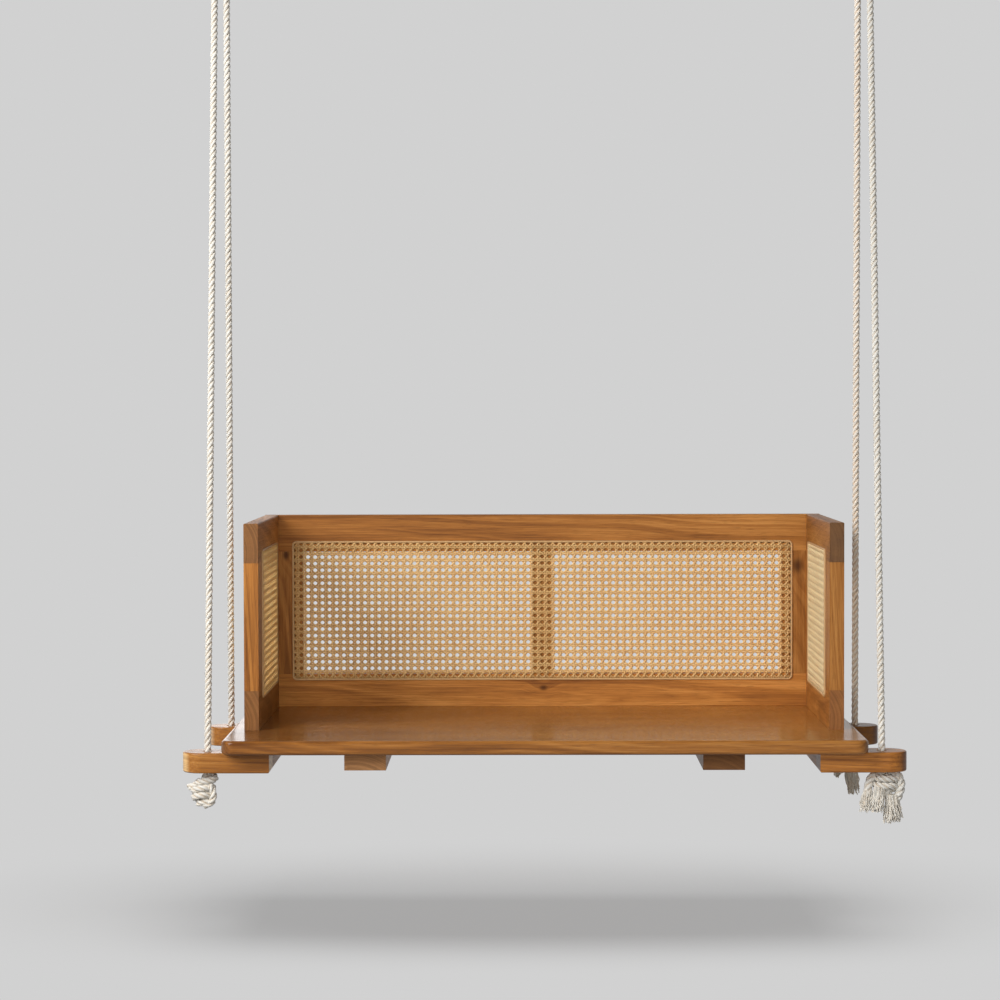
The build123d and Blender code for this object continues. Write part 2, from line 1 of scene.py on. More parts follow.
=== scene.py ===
# %% [markdown]
# # A jhoola in cane and rope
# A jhoola is a bench that hangs. This one has a plain board to sit on, a low back and two sides of
# caned frames, and four ropes that run through arms under the seat and end in knots.
#
# The joiner's pieces arrive ready made, each as its own mesh at its real size. This file gives them
# their finish and makes what a joiner doesn't: the laid ropes with their eyes, knots and frayed
# ends, and the woven cane.

# %% Load the joined pieces
import json
import math

import bmesh
import bpy
from mathutils import Vector
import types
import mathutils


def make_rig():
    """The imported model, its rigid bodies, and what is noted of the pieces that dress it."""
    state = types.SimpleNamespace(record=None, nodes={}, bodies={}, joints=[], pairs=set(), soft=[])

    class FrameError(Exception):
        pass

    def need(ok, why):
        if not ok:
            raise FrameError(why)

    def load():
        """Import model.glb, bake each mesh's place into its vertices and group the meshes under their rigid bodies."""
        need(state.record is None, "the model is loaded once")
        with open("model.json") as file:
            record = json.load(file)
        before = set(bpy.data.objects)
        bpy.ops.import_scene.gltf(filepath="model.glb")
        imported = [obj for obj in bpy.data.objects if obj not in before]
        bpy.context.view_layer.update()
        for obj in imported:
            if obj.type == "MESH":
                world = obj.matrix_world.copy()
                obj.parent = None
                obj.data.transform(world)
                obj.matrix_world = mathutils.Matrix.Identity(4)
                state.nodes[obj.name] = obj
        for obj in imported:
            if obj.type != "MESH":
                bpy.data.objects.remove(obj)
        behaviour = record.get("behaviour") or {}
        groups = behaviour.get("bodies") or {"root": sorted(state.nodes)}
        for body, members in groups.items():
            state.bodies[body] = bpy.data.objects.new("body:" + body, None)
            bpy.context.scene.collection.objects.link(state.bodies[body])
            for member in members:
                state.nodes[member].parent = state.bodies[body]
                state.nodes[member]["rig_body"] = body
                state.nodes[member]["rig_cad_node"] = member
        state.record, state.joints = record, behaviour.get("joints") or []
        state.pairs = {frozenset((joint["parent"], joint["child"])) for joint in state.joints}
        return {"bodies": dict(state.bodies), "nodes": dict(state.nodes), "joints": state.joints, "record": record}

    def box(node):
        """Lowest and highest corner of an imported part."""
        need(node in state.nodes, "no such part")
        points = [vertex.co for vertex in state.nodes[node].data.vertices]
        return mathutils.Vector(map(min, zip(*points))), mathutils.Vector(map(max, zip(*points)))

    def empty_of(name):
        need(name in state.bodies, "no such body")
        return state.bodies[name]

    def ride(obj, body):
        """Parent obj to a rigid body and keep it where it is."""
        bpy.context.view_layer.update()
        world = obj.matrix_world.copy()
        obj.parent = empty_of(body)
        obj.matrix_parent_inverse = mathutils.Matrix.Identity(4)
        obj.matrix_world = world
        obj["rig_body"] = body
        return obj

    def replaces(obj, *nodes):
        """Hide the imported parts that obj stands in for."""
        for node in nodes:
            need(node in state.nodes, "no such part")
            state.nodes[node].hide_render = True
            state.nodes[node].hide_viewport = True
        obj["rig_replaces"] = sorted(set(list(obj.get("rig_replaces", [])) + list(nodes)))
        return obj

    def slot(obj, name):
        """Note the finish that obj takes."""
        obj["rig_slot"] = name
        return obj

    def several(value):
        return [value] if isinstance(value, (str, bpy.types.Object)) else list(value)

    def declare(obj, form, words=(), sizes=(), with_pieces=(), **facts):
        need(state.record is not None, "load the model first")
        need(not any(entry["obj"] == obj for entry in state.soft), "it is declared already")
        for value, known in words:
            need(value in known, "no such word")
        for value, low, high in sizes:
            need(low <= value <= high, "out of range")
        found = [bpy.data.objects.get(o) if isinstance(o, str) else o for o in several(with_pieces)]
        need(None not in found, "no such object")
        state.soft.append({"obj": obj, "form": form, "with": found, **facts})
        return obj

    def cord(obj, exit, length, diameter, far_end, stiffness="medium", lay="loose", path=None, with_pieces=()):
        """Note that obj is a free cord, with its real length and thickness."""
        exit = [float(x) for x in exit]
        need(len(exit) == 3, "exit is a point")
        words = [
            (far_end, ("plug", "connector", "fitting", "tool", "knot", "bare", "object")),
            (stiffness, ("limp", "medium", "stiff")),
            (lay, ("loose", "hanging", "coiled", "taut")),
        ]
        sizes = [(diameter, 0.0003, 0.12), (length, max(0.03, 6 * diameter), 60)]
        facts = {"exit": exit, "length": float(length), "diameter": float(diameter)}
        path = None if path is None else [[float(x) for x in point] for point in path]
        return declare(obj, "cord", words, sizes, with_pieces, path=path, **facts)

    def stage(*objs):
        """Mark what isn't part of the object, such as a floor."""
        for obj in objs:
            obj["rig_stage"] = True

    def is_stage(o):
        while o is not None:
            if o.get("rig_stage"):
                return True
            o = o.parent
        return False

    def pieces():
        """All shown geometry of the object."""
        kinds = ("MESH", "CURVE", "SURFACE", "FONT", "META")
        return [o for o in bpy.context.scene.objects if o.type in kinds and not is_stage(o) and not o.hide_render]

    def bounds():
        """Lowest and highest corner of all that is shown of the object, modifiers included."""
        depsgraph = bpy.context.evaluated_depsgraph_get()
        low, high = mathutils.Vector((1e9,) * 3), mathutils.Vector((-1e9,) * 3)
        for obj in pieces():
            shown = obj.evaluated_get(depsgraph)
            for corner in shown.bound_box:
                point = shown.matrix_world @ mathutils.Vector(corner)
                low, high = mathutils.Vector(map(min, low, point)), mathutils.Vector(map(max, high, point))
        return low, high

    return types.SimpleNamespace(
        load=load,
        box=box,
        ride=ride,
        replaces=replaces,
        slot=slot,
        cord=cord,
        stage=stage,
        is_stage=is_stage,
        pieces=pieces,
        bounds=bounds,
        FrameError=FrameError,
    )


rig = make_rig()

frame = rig.load()
cad_low, cad_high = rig.bounds()
MM = 0.001
FULL_TURN = 2 * math.pi
SIDES = {"left": -1, "right": 1}
print(f"{len(frame['nodes'])} ready pieces, {cad_high.x - cad_low.x:.3f} m wide")

# %% [markdown]
# ## The camera
# A long lens a few metres away keeps the four ropes almost parallel, and a slight tilt down shows a
# narrow strip of the seat.

# %% Place the camera
CAMERA_PLACE = (-0.0334, -5.0595, -0.986)
CAMERA_TILT_DOWN = 1.79
CAMERA_TURN_LEFT = 0.48
CAMERA_ROLL = 0.14
CAMERA_LENS = 102.34
SENSOR_WIDTH = 36


def in_scene(name, data):
    """A new object in the scene that holds this data."""
    made = bpy.data.objects.new(name, data)
    bpy.context.scene.collection.objects.link(made)
    return made


lens = bpy.data.cameras.new("camera")
lens.lens = CAMERA_LENS
lens.sensor_width = SENSOR_WIDTH
camera = in_scene("camera", lens)
camera.location = CAMERA_PLACE
turns = (90 - CAMERA_TILT_DOWN, CAMERA_ROLL, CAMERA_TURN_LEFT)
camera.rotation_euler = [math.radians(turn) for turn in turns]
bpy.context.scene.camera = camera
print(f"a {CAMERA_LENS:.0f} mm lens, {-CAMERA_PLACE[1]:.2f} m in front of the pivots")

# %% [markdown]
# ## Routes for the ropes
# A rope that carries a load is straight from the hanger to the arm, and only turns upright where it
# enters the arm's hole. Four control points hold that line: the end of the eye's splice, a point six
# diameters above the turn, the turn itself, and the arm's underside. A NURBS curve of order 3 turns
# smoothly near its middle points and is straight elsewhere.

# %% Draw a smooth line through a few points
ROPE_DIAMETER = 12.5 * MM
LINE_STEPS = 24
MEASURE_STEP = 0.01


def smooth_line(points, steps=LINE_STEPS):
    """The points of a NURBS curve that a short list of control points shapes."""
    curve = bpy.data.curves.new("line", "CURVE")
    curve.dimensions = "3D"
    curve.resolution_u = steps
    spline = curve.splines.new("NURBS")
    spline.points.add(len(points) - 1)
    for knot, point in zip(spline.points, points):
        knot.co = (*point, 1)
    spline.order_u = 3
    spline.use_endpoint_u = True
    holder = in_scene("line", curve)
    mesh = bpy.data.meshes.new_from_object(holder)
    line = [vertex.co.copy() for vertex in mesh.vertices]
    bpy.data.objects.remove(holder)
    bpy.data.curves.remove(curve)
    bpy.data.meshes.remove(mesh)
    return line


def marks_along(line):
    """How far along a line each of its points is."""
    marks = [0.0]
    for start, end in zip(line, line[1:]):
        marks.append(marks[-1] + (end - start).length)
    return marks


def evenly(line, spacing):
    """The same line as evenly spaced points, and its length."""
    marks = marks_along(line)
    count = max(2, round(marks[-1] / spacing) + 1)
    even = []
    index = 0
    for step in range(count):
        mark = marks[-1] * step / (count - 1)
        while index < len(line) - 2 and marks[index + 1] < mark:
            index += 1
        share = (mark - marks[index]) / max(marks[index + 1] - marks[index], 1e-9)
        even.append(line[index].lerp(line[index + 1], share))
    return even, marks[-1]


ROUTES = {
    "front": [
        (0.5763, -0.0218, -0.1600), (0.5684, -0.2690, -1.4763),
        (0.5680, -0.2828, -1.5500), (0.5680, -0.2828, -1.5920),
    ],
    "rear": [
        (0.5597, 0.0084, -0.1617), (0.5676, 0.1019, -1.4752),
        (0.5680, 0.1072, -1.5500), (0.5680, 0.1072, -1.5920),
    ],
}
ROPES = {f"{end}_{side}": (end, side) for end in ROUTES for side in SIDES}


def route(end, side):
    return [Vector((SIDES[side] * x, y, z)) for x, y, z in ROUTES[end]]


for end in ROUTES:
    length = evenly(smooth_line(route(end, "right")), MEASURE_STEP)[1]
    print(f"{end} ropes: {length:.3f} m from splice to knot")

# %% [markdown]
# ## Three strands laid into a rope
# A laid rope is three strands twisted round each other. Its strands climb from lower left to upper
# right, which ropemakers call a Z lay. A smooth tube with a picture of strands on it would have a
# plain outline, so each strand is its own tube here, that winds round the rope's line. The frame
# that the strands turn in is carried along the line without twist, or the lay would be uneven.
#
# Each strand also has a UV map, across and along it, for the yarns that show on its surface.

# %% Wind strands along a line
LAY = 34.0 * MM
STRANDS = 3
STRAND_RADIUS = 3.15 * MM
STRAND_OFFSET = ROPE_DIAMETER / 2 - STRAND_RADIUS
RINGS_PER_LAY = 14
STRAND_SIDES = 12


def carried_frames(line):
    """At each point of a line, its direction and two directions across it, without twist."""
    frames = []
    across = None
    for index, point in enumerate(line):
        ahead = line[min(index + 1, len(line) - 1)] - line[max(index - 1, 0)]
        ahead.normalize()
        if across is None:
            across = ahead.orthogonal()
        across = (across - ahead * across.dot(ahead)).normalized()
        frames.append((point, ahead, across, ahead.cross(across)))
    return frames


def tube(mesh, centres, radii, outward):
    """Adds a closed tube to a bmesh. Its UV map runs round it from the outward side, and along it."""
    uv = mesh.loops.layers.uv.verify()
    rings = []
    marks = marks_along(centres)
    for index, (point, ahead, _, _) in enumerate(carried_frames(centres)):
        across = (outward[index] - ahead * outward[index].dot(ahead)).normalized()
        beside = ahead.cross(across)
        ring = []
        for side in range(STRAND_SIDES):
            angle = FULL_TURN * side / STRAND_SIDES
            offset = across * math.cos(angle) + beside * math.sin(angle)
            ring.append(mesh.verts.new(point + offset * radii[index]))
        rings.append(ring)
    for index, (low, high) in enumerate(zip(rings, rings[1:])):
        for side in range(STRAND_SIDES):
            after = (side + 1) % STRAND_SIDES
            face = mesh.faces.new((low[side], low[after], high[after], high[side]))
            face.smooth = True
            corners = ((side, index), (side + 1, index), (side + 1, index + 1), (side, index + 1))
            for loop, (column, row) in zip(face.loops, corners):
                loop[uv].uv = (column / STRAND_SIDES, marks[row])
    mesh.faces.new(rings[0][::-1])
    mesh.faces.new(rings[-1])


def laid_strands(mesh, line, scale=1.0, phase=0.0):
    """Winds the three strands of a rope along a line."""
    even, length = evenly(line, LAY / RINGS_PER_LAY)
    frames = carried_frames(even)
    step = length / (len(even) - 1)
    for strand in range(STRANDS):
        outward = []
        for index, (_, _, across, beside) in enumerate(frames):
            angle = FULL_TURN * (strand / STRANDS + index * step / LAY) + phase
            outward.append(across * math.cos(angle) + beside * math.sin(angle))
        centres = [place + way * (STRAND_OFFSET * scale) for place, way in zip(even, outward)]
        tube(mesh, centres, [STRAND_RADIUS * scale] * len(centres), outward)
    return even


def piece_from(mesh, name, material):
    """Turns a bmesh into a named object in the scene."""
    data = bpy.data.meshes.new(name)
    mesh.to_mesh(data)
    mesh.free()
    data.materials.append(material)
    return in_scene(name, data)


print(f"strands {2 * STRAND_RADIUS / MM:.1f} mm thick, one turn every {LAY / MM:.0f} mm")

# %% [markdown]
# ## A short way to write shader maths
# A material is a graph of nodes, and graphs are hard to read as code. Here an output socket is
# wrapped in a small class whose operators add Math nodes, so that `1 - mask * 0.5` is written as it
# is meant. Every other node comes from one method, which sets its settings first, because some
# settings change which sockets there are.


# %% Wrap sockets and graphs
class Socket:
    """An output of a node. Python's operators on it add Math nodes."""

    def __init__(self, graph, socket):
        self.graph = graph
        self.socket = socket
    def math(self, operation, *others):
        return self.graph.math(operation, self, *others)

    def __add__(self, other):
        return self.math("ADD", other)

    def __sub__(self, other):
        return self.math("SUBTRACT", other)

    def __rsub__(self, other):
        return self.graph.math("SUBTRACT", other, self)

    def __mul__(self, other):
        return self.math("MULTIPLY", other)

    def __truediv__(self, other):
        return self.math("DIVIDE", other)

    def __rtruediv__(self, other):
        return self.graph.math("DIVIDE", other, self)

    def __pow__(self, other):
        return self.math("POWER", other)

    def __neg__(self):
        return self * -1.0

    __radd__ = __add__
    __rmul__ = __mul__

    def sine(self):
        return self.math("SINE")

    def cosine(self):
        return self.math("COSINE")

    def size(self):
        return self.math("ABSOLUTE")

    def at_least(self, other):
        return self.math("MAXIMUM", other)

    def at_most(self, other):
        return self.math("MINIMUM", other)

    def between(self, low, high):
        """0 at low, 1 at high, with a soft step between them."""
        settings = {"interpolation_type": "SMOOTHSTEP"}
        return self.graph.node("ShaderNodeMapRange", settings, Value=self, From_Min=low, From_Max=high)


class Graph:
    """The emptied node tree of a material or a world, or a geometry tree, to build in."""

    def __init__(self, owner):
        self.owner = self.tree = owner
        if hasattr(owner, "use_nodes"):
            owner.use_nodes = True
            self.tree = owner.node_tree
            self.tree.nodes.clear()

    def node(self, kind, settings=None, inputs=(), output=0, **named):
        """Adds a node. Its inputs are given in order, by key, or by name with _ for a space."""
        made = self.tree.nodes.new(kind)
        for name, value in (settings or {}).items():
            setattr(made, name, value)
        given = dict(inputs if isinstance(inputs, dict) else enumerate(inputs))
        given.update((name.replace("_", " "), value) for name, value in named.items())
        for key, value in given.items():
            if isinstance(value, Socket):
                self.tree.links.new(value.socket, made.inputs[key])
            else:
                made.inputs[key].default_value = value
        return Socket(self, made.outputs[output]) if made.outputs else None

    def outputs(self, kind, inputs=()):
        """Adds a node, and gives all of its outputs by name."""
        made = self.node(kind, inputs=inputs).socket.node
        return {out.name: Socket(self, out) for out in made.outputs}

    def math(self, operation, *inputs):
        return self.node("ShaderNodeMath", {"operation": operation}, inputs)

    def mixed(self, share, first, second):
        """Two colours mixed. A plain colour is three numbers."""
        settings = {"data_type": "RGBA", "clamp_factor": True}
        first, second = [(*c, 1) if isinstance(c, tuple) else c for c in (first, second)]
        return self.node("ShaderNodeMix", settings, {0: share, 6: first, 7: second}, output=2)

    def ramp(self, share, *colours):
        """A blend of evenly spaced colours."""
        made = self.node("ShaderNodeValToRGB", inputs=(share,))
        elements = made.socket.node.color_ramp.elements
        while len(elements) < len(colours):
            elements.new(1.0)
        for number, (element, colour) in enumerate(zip(elements, colours)):
            element.position = number / (len(colours) - 1)
            element.color = (*colour, 1)
        return made

    def vector(self, *parts):
        return self.node("ShaderNodeCombineXYZ", inputs=parts)

    def parts(self, vector):
        """A vector's parts by name: X, Y and Z."""
        return self.outputs("ShaderNodeSeparateXYZ", (vector,))

    def place(self):
        """The place of the shaded point on its object, in metres."""
        return self.node("ShaderNodeTexCoord", output="Object")

    def noise(self, place, scale, detail=3.0, roughness=0.5):
        inputs = {"Vector": place, "Scale": scale, "Detail": detail, "Roughness": roughness}
        return self.node("ShaderNodeTexNoise", inputs=inputs)


BEVEL_SAMPLES = 4


def finished(graph, colour, roughness, height, relief, eased=None, **inputs):
    """Ends a graph in a principled shader, with relief and maybe eased edges. Gives its material."""
    bump = {"Strength": 1.0, "Distance": relief, "Height": height}
    if eased:
        bump["Normal"] = graph.node("ShaderNodeBevel", {"samples": BEVEL_SAMPLES}, Radius=eased)
    inputs["Normal"] = graph.node("ShaderNodeBump", inputs=bump)
    shader = graph.node("ShaderNodeBsdfPrincipled", Base_Color=colour, Roughness=roughness, **inputs)
    graph.node("ShaderNodeOutputMaterial", Surface=shader)
    return graph.owner


print("operators on sockets: + - * / **")

# %% [markdown]
# ## Oiled wood, one board at a time
# A board shows what part of the tree it was cut from. Growth rings are shells round the pith, so a
# ring's colour depends on the distance from the pith's line, which lies a little way behind the
# board and isn't quite parallel to it. That slant is what draws the pointed arches on a flat-sawn
# board. Fine fibres and pores are noise that is stretched along the grain. Where the surface cuts
# across the fibres, as on the end of a rail, the wood drinks more oil and is darker and duller.
#
# Each board gets its own grain direction, place in the tree and tone; some tones hold painted light.

# %% Finish a board
WOOD_DARK = (0.135, 0.042, 0.010)
WOOD_MIDDLE = (0.390, 0.148, 0.029)
WOOD_LIGHT = (0.620, 0.280, 0.070)
WOOD_END = (0.170, 0.076, 0.030)
RING_DENSITY = 210.0
EDGE_EASE = 1.2 * MM
WOOD_RELIEF = 0.10 * MM
def times(colour, factor):
    return tuple(part * factor for part in colour)


def wood(
    node, cut, seed, tone=1.0, drift=0.0, end=WOOD_END,
    roughness=0.46, pith=(0.02, 0.09), slant=0.05, knots=(),
):
    """A board's finish. cut names the axes along its fibres and across its thickness."""
    graph = Graph(bpy.data.materials.new(f"wood {node}"))
    low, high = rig.box(node)
    settings = {"operation": "SUBTRACT"}
    local = graph.node("ShaderNodeVectorMath", settings, (graph.place(), tuple((low + high) / 2)))
    axes = graph.parts(local)
    grain, face = cut
    long, deep = axes[grain], axes[face]
    across = axes[next(axis for axis in "XYZ" if axis not in cut)]

    def stretched(along, crosswise, detail, rough=0.5, shift_along=0.0, shift_across=0.0):
        """Noise that changes less often along the grain than across it."""
        x = long * along + shift_along
        y = across * crosswise + shift_across
        return graph.noise(graph.vector(x, y, deep * crosswise), 1.0, detail, rough)

    warp = stretched(2.1, 6.0, 2.0, shift_along=seed) - 0.5
    swirl = 0.0
    for place, aside, size in knots:
        gap = ((long - place) ** 2.0 * 0.4 + (across - aside) ** 2.0) ** 0.5
        swirl = swirl + (1 - gap.between(0.0, size * 3)) * size * 1.6
    rise = across + pith[0] + warp * 0.05 + swirl
    depth = deep + pith[1] + long * slant
    radius = (rise**2.0 + depth**2.0) ** 0.5
    settings = {"noise_dimensions": "1D"}
    inputs = {"W": radius * RING_DENSITY + seed * 3.7, "Scale": 1.0, "Detail": 3.0, "Roughness": 0.62}
    rings = graph.node("ShaderNodeTexNoise", settings, inputs)
    streaks = stretched(2.4, 46.0, 3.0, shift_along=seed)
    fibres = stretched(9.0, 520.0, 3.0, 0.6, shift_across=seed)
    clouds = stretched(3.2, 9.0, 2.0, shift_across=seed)
    pores = stretched(40.0, 1500.0, 1.0).between(0.60, 0.70)

    share = rings * 0.26 + streaks * 0.26 + fibres * 0.28 + clouds * 0.20
    share = (share + long * drift).between(0.28, 0.72)
    colour = graph.ramp(share, *[times(shade, tone) for shade in (WOOD_DARK, WOOD_MIDDLE, WOOD_LIGHT)])
    dark = times(times(WOOD_DARK, 0.45), tone)
    colour = graph.mixed(pores * 0.45, colour, dark)
    for place, aside, size in knots:
        gap = ((long - place) ** 2.0 * 0.5 + (across - aside) ** 2.0) ** 0.5
        heart = 1 - (gap + fibres * size * 0.3).between(size * 0.25, size)
        colour = graph.mixed(heart * 0.85, colour, dark)

    normal = graph.node("ShaderNodeTexCoord", output="Normal")
    end_grain = graph.parts(normal)[grain].size().between(0.55, 0.85)
    end_colour = graph.mixed(graph.noise(local, 900.0, 2.0) * 0.5, end, times(end, 0.5))
    end_colour = graph.mixed(rings.between(0.4, 0.6) * 0.35, end_colour, times(end, 1.8))
    colour = graph.mixed(end_grain * 0.75, colour, end_colour)

    roughness = roughness - share * 0.06 + pores * 0.15 + end_grain * 0.1
    height = fibres * 0.5 - pores * 0.6 + rings * 0.2
    return finished(graph, colour, roughness, height, WOOD_RELIEF, EDGE_EASE, Specular_IOR_Level=0.25)


BOARDS = {
    "seat_board": dict(cut="XZ", seed=1.3, tone=0.85, drift=0.12, roughness=0.21, pith=(0.11, 0.12)),
    "back_top_rail": dict(cut="XY", seed=2.9, tone=0.96, drift=0.10, pith=(0.05, 0.10), slant=0.03),
    "back_bottom_rail": dict(cut="XY", seed=4.1, tone=1.15, slant=0.02, knots=[(0.002, 0.004, 0.009)]),
    # The left stile's darker tone is partly its own and partly painted shade from the left side
    "back_left_stile": dict(cut="ZY", seed=5.2, tone=0.85, knots=[(0.108, 0.004, 0.012)]),
    "back_right_stile": dict(cut="ZY", seed=6.7, tone=0.83, knots=[(0.086, -0.006, 0.018)]),
    # The middle stile, seen through the cane, is painted darker as shade behind the cane
    "back_centre_stile": dict(cut="ZY", seed=7.4, tone=0.7),
}
TWO_SIDED = [
    (("{}_top_rail", "{}_bottom_rail"), 8.1, dict(cut="YX")),
    (("{}_front_stile", "{}_rear_stile"), 14.6, dict(cut="ZX", slant=0.07)),
    (("batten_{}", "end_cleat_{}"), 20.3, dict(cut="YZ")),
    (("rope_arm_front_{}", "rope_arm_rear_{}"), 27.5, dict(cut="XZ", roughness=0.3)),
]
# Tones and end colours by board: some are the board's own, and those noted below hold painted light or shade
TONES_AND_PAINTED_LIGHT = {
    "left_top_rail": dict(end=(0.205, 0.095, 0.036)),
    # The left bottom rail's darker tone is painted shade on the inside of the left side, near the seat
    "left_bottom_rail": dict(tone=0.65, end=(0.235, 0.102, 0.036)),
    "left_front_stile": dict(tone=1.12),
    "right_top_rail": dict(tone=0.85, end=(0.100, 0.058, 0.032)),
    "right_bottom_rail": dict(end=(0.220, 0.092, 0.034)),
    "right_front_stile": dict(tone=0.85),
    # The left batten's light front end is painted light, and the right batten's darker tone is painted shade under the
    # seat
    "batten_left": dict(end=(0.42, 0.215, 0.095)),
    "batten_right": dict(tone=0.6),
    # The left arms' rounded ends are painted light, as lit by the key lamp at the left; the right arms' ends are
    # painted dark, as in its shade, and the rear right arm's darker tone is painted shade under the seat
    "rope_arm_front_left": dict(tone=0.85, end=(0.84, 0.55, 0.25)),
    "rope_arm_front_right": dict(tone=1.35, end=(0.100, 0.030, 0.004)),
    "rope_arm_rear_left": dict(end=(0.70, 0.50, 0.30)),
    "rope_arm_rear_right": dict(tone=0.6, end=(0.080, 0.020, 0.003)),
}
for side_number, side in enumerate(SIDES):
    for names, seed, cut in TWO_SIDED:
        for number, name in enumerate(names):
            node = name.format(side)
            own = TONES_AND_PAINTED_LIGHT.get(node, {})
            BOARDS[node] = dict(cut, seed=seed + 3 * side_number + number, **own)


def give(material, *nodes):
    """Puts one material on all the faces of ready pieces."""
    for node in nodes:
        data = frame["nodes"][node].data
        data.materials.clear()
        data.materials.append(material)


for node, look in BOARDS.items():
    give(wood(node, **look), node)
print(len(BOARDS), "boards, each with its own grain")

# %% [markdown]
# ## Reed, steel, paint and nylon
# The spline that locks the cane is split reed: pale, fibrous and a little glossy. The fittings at the
# ceiling are zinc-plated bolts, brackets in black paint and plain nylon rollers. Plated zinc is never
# even, so its roughness follows a fine mottle. The paint has a faint orange-peel surface.

# %% Finish the reed and the fittings
def reed_finish():
    graph = Graph(bpy.data.materials.new("reed"))
    place = graph.place()
    fibre = graph.noise(place, 700.0, 3.0, 0.6)
    patch = graph.noise(place, 24.0, 2.0)
    colour = graph.mixed(fibre * 0.5 + patch * 0.4, (0.70, 0.46, 0.22), (0.46, 0.25, 0.10))
    return finished(graph, colour, 0.42 + fibre * 0.1, fibre, 0.08 * MM, Coat_Weight=0.15)


def zinc_finish(name, tone=1.0):
    graph = Graph(bpy.data.materials.new(name))
    place = graph.place()
    mottle = graph.noise(place, 160.0, 3.0)
    scratches = graph.noise(place, 1400.0, 2.0, 0.7)
    colour = graph.mixed(mottle, times((0.50, 0.51, 0.52), tone), times((0.68, 0.68, 0.68), tone))
    roughness = 0.30 + mottle * 0.15 + scratches * 0.08
    return finished(graph, colour, roughness, scratches, 0.03 * MM, 0.4 * MM, Metallic=1.0)


def paint_finish():
    graph = Graph(bpy.data.materials.new("black paint"))
    place = graph.place()
    peel = graph.noise(place, 650.0, 1.0)
    dust = graph.noise(place, 30.0, 3.0).between(0.5, 0.8)
    colour = graph.mixed(dust * 0.5, (0.018, 0.018, 0.019), (0.055, 0.052, 0.048))
    return finished(graph, colour, 0.38 + dust * 0.2, peel, 0.05 * MM, 0.6 * MM)


def nylon_finish():
    graph = Graph(bpy.data.materials.new("nylon"))
    place = graph.place()
    haze = graph.noise(place, 90.0, 2.0)
    rub = graph.noise(place, 1200.0, 2.0)
    colour = graph.mixed(haze, (0.80, 0.77, 0.69), (0.66, 0.62, 0.54))
    return finished(graph, colour, 0.40 + rub * 0.12, rub, 0.03 * MM)


def on_both_sides(*names):
    return [f"{name}_{side}" for name in names for side in SIDES]


screws = [f"{group}_screws" for group in ("arm", "batten", "cleat", "frame", "corner")]
plated = ["pivot_nuts", "pivot_washers", *on_both_sides("pivot_bolt", "thimble_front", "thimble_rear")]
give(reed_finish(), "back_spline", "left_spline", "right_spline")
give(zinc_finish("zinc plate"), *plated)
give(zinc_finish("screw steel", 0.9), *screws)
give(paint_finish(), *on_both_sides("hanger_bracket"))
give(nylon_finish(), *on_both_sides("pivot_roller"))
print("reed, zinc, screw steel, black paint and nylon")

# %% [markdown]
# ## Cotton rope
# The rope is undyed cotton. Its yarns run nearly along the rope, so on each strand they slant
# against the strand's own direction. The crevices between strands and the grooves between yarns
# are painted darker and warmer than the crowns: painted shade, and some dust, which stays there.

# %% Finish the rope
COTTON = (0.86, 0.85, 0.80)
COTTON_SHADE = (0.58, 0.44, 0.28)
YARNS_ROUND_STRAND = 9.0
YARN_PITCH = 9.0 * MM


def cotton(name, handled=0.0, light=COTTON, shade=COTTON_SHADE):
    """The rope's finish. Its second argument is how much painted shade it gets beside the seat."""
    graph = Graph(bpy.data.materials.new(name))
    round_strand, along, _ = graph.parts(graph.node("ShaderNodeTexCoord", output="UV")).values()
    place = graph.place()
    wobble = graph.noise(place, 400.0, 2.0)
    yarns = (round_strand * YARNS_ROUND_STRAND - along / YARN_PITCH + wobble * 0.5) * FULL_TURN
    crown = yarns.sine() * 0.5 + 0.5
    fluff = graph.noise(place, 2600.0, 3.0, 0.7)
    soil = graph.noise(place, 9.0, 3.0).between(0.35, 0.75)
    # Painted shade in the crevices between strands and between yarns; soil is real dirt
    crevice = 1 - (round_strand * FULL_TURN).cosine().between(-0.1, 0.9)
    shade_share = crevice * 0.44 + (1 - crown) * 0.16 + (1 - fluff) * 0.10 + soil * 0.12
    # Painted shade: browner low down beside the seat
    beside_seat = 1 - graph.parts(place)["Z"].between(-1.25, -1.0)
    colour = graph.mixed(shade_share + beside_seat * handled, light, shade)
    height = crown * 0.7 + fluff * 0.5
    return finished(graph, colour, 0.92, height, 0.35 * MM, Sheen_Weight=0.25, Sheen_Roughness=0.5)


rope_cotton = dict.fromkeys(ROPES, cotton("rope cotton"))
# The front left and rear right ropes get painted shade beside the seat; the rear right one is also painted warmer
# throughout, as painted bounce light off the wood
rope_cotton["front_left"] = cotton("used cotton", 0.08)
rope_cotton["rear_right"] = cotton("handled cotton", 0.20, (0.93, 0.88, 0.80), (0.74, 0.50, 0.28))
print("cotton with", int(YARNS_ROUND_STRAND), "yarns round each strand")

# %% [markdown]
# ## The four ropes
# Each rope is one mesh of three strands, from its eye's splice to the underside of its arm.

# %% Make the ropes
ROPE_PHASE = {"left": 0.7, "right": 2.1}
def rope_piece(mesh, title, node, name):
    """A piece of one rope, in place of the ready one."""
    piece = piece_from(mesh, f"{title}_{name}", rope_cotton[name])
    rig.ride(piece, "swing")
    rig.replaces(piece, f"{node}_{name}")
    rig.slot(piece, "rope")
    return piece


ropes = {}
rope_lines = {}
for name, (end, side) in ROPES.items():
    mesh = bmesh.new()
    rope_lines[name] = laid_strands(mesh, smooth_line(route(end, side)), phase=ROPE_PHASE[side])
    ropes[name] = rope_piece(mesh, "laid_rope", "rope", name)
print(f"{len(ropes)} ropes, {len(ropes['front_left'].data.polygons)} faces in each front one")

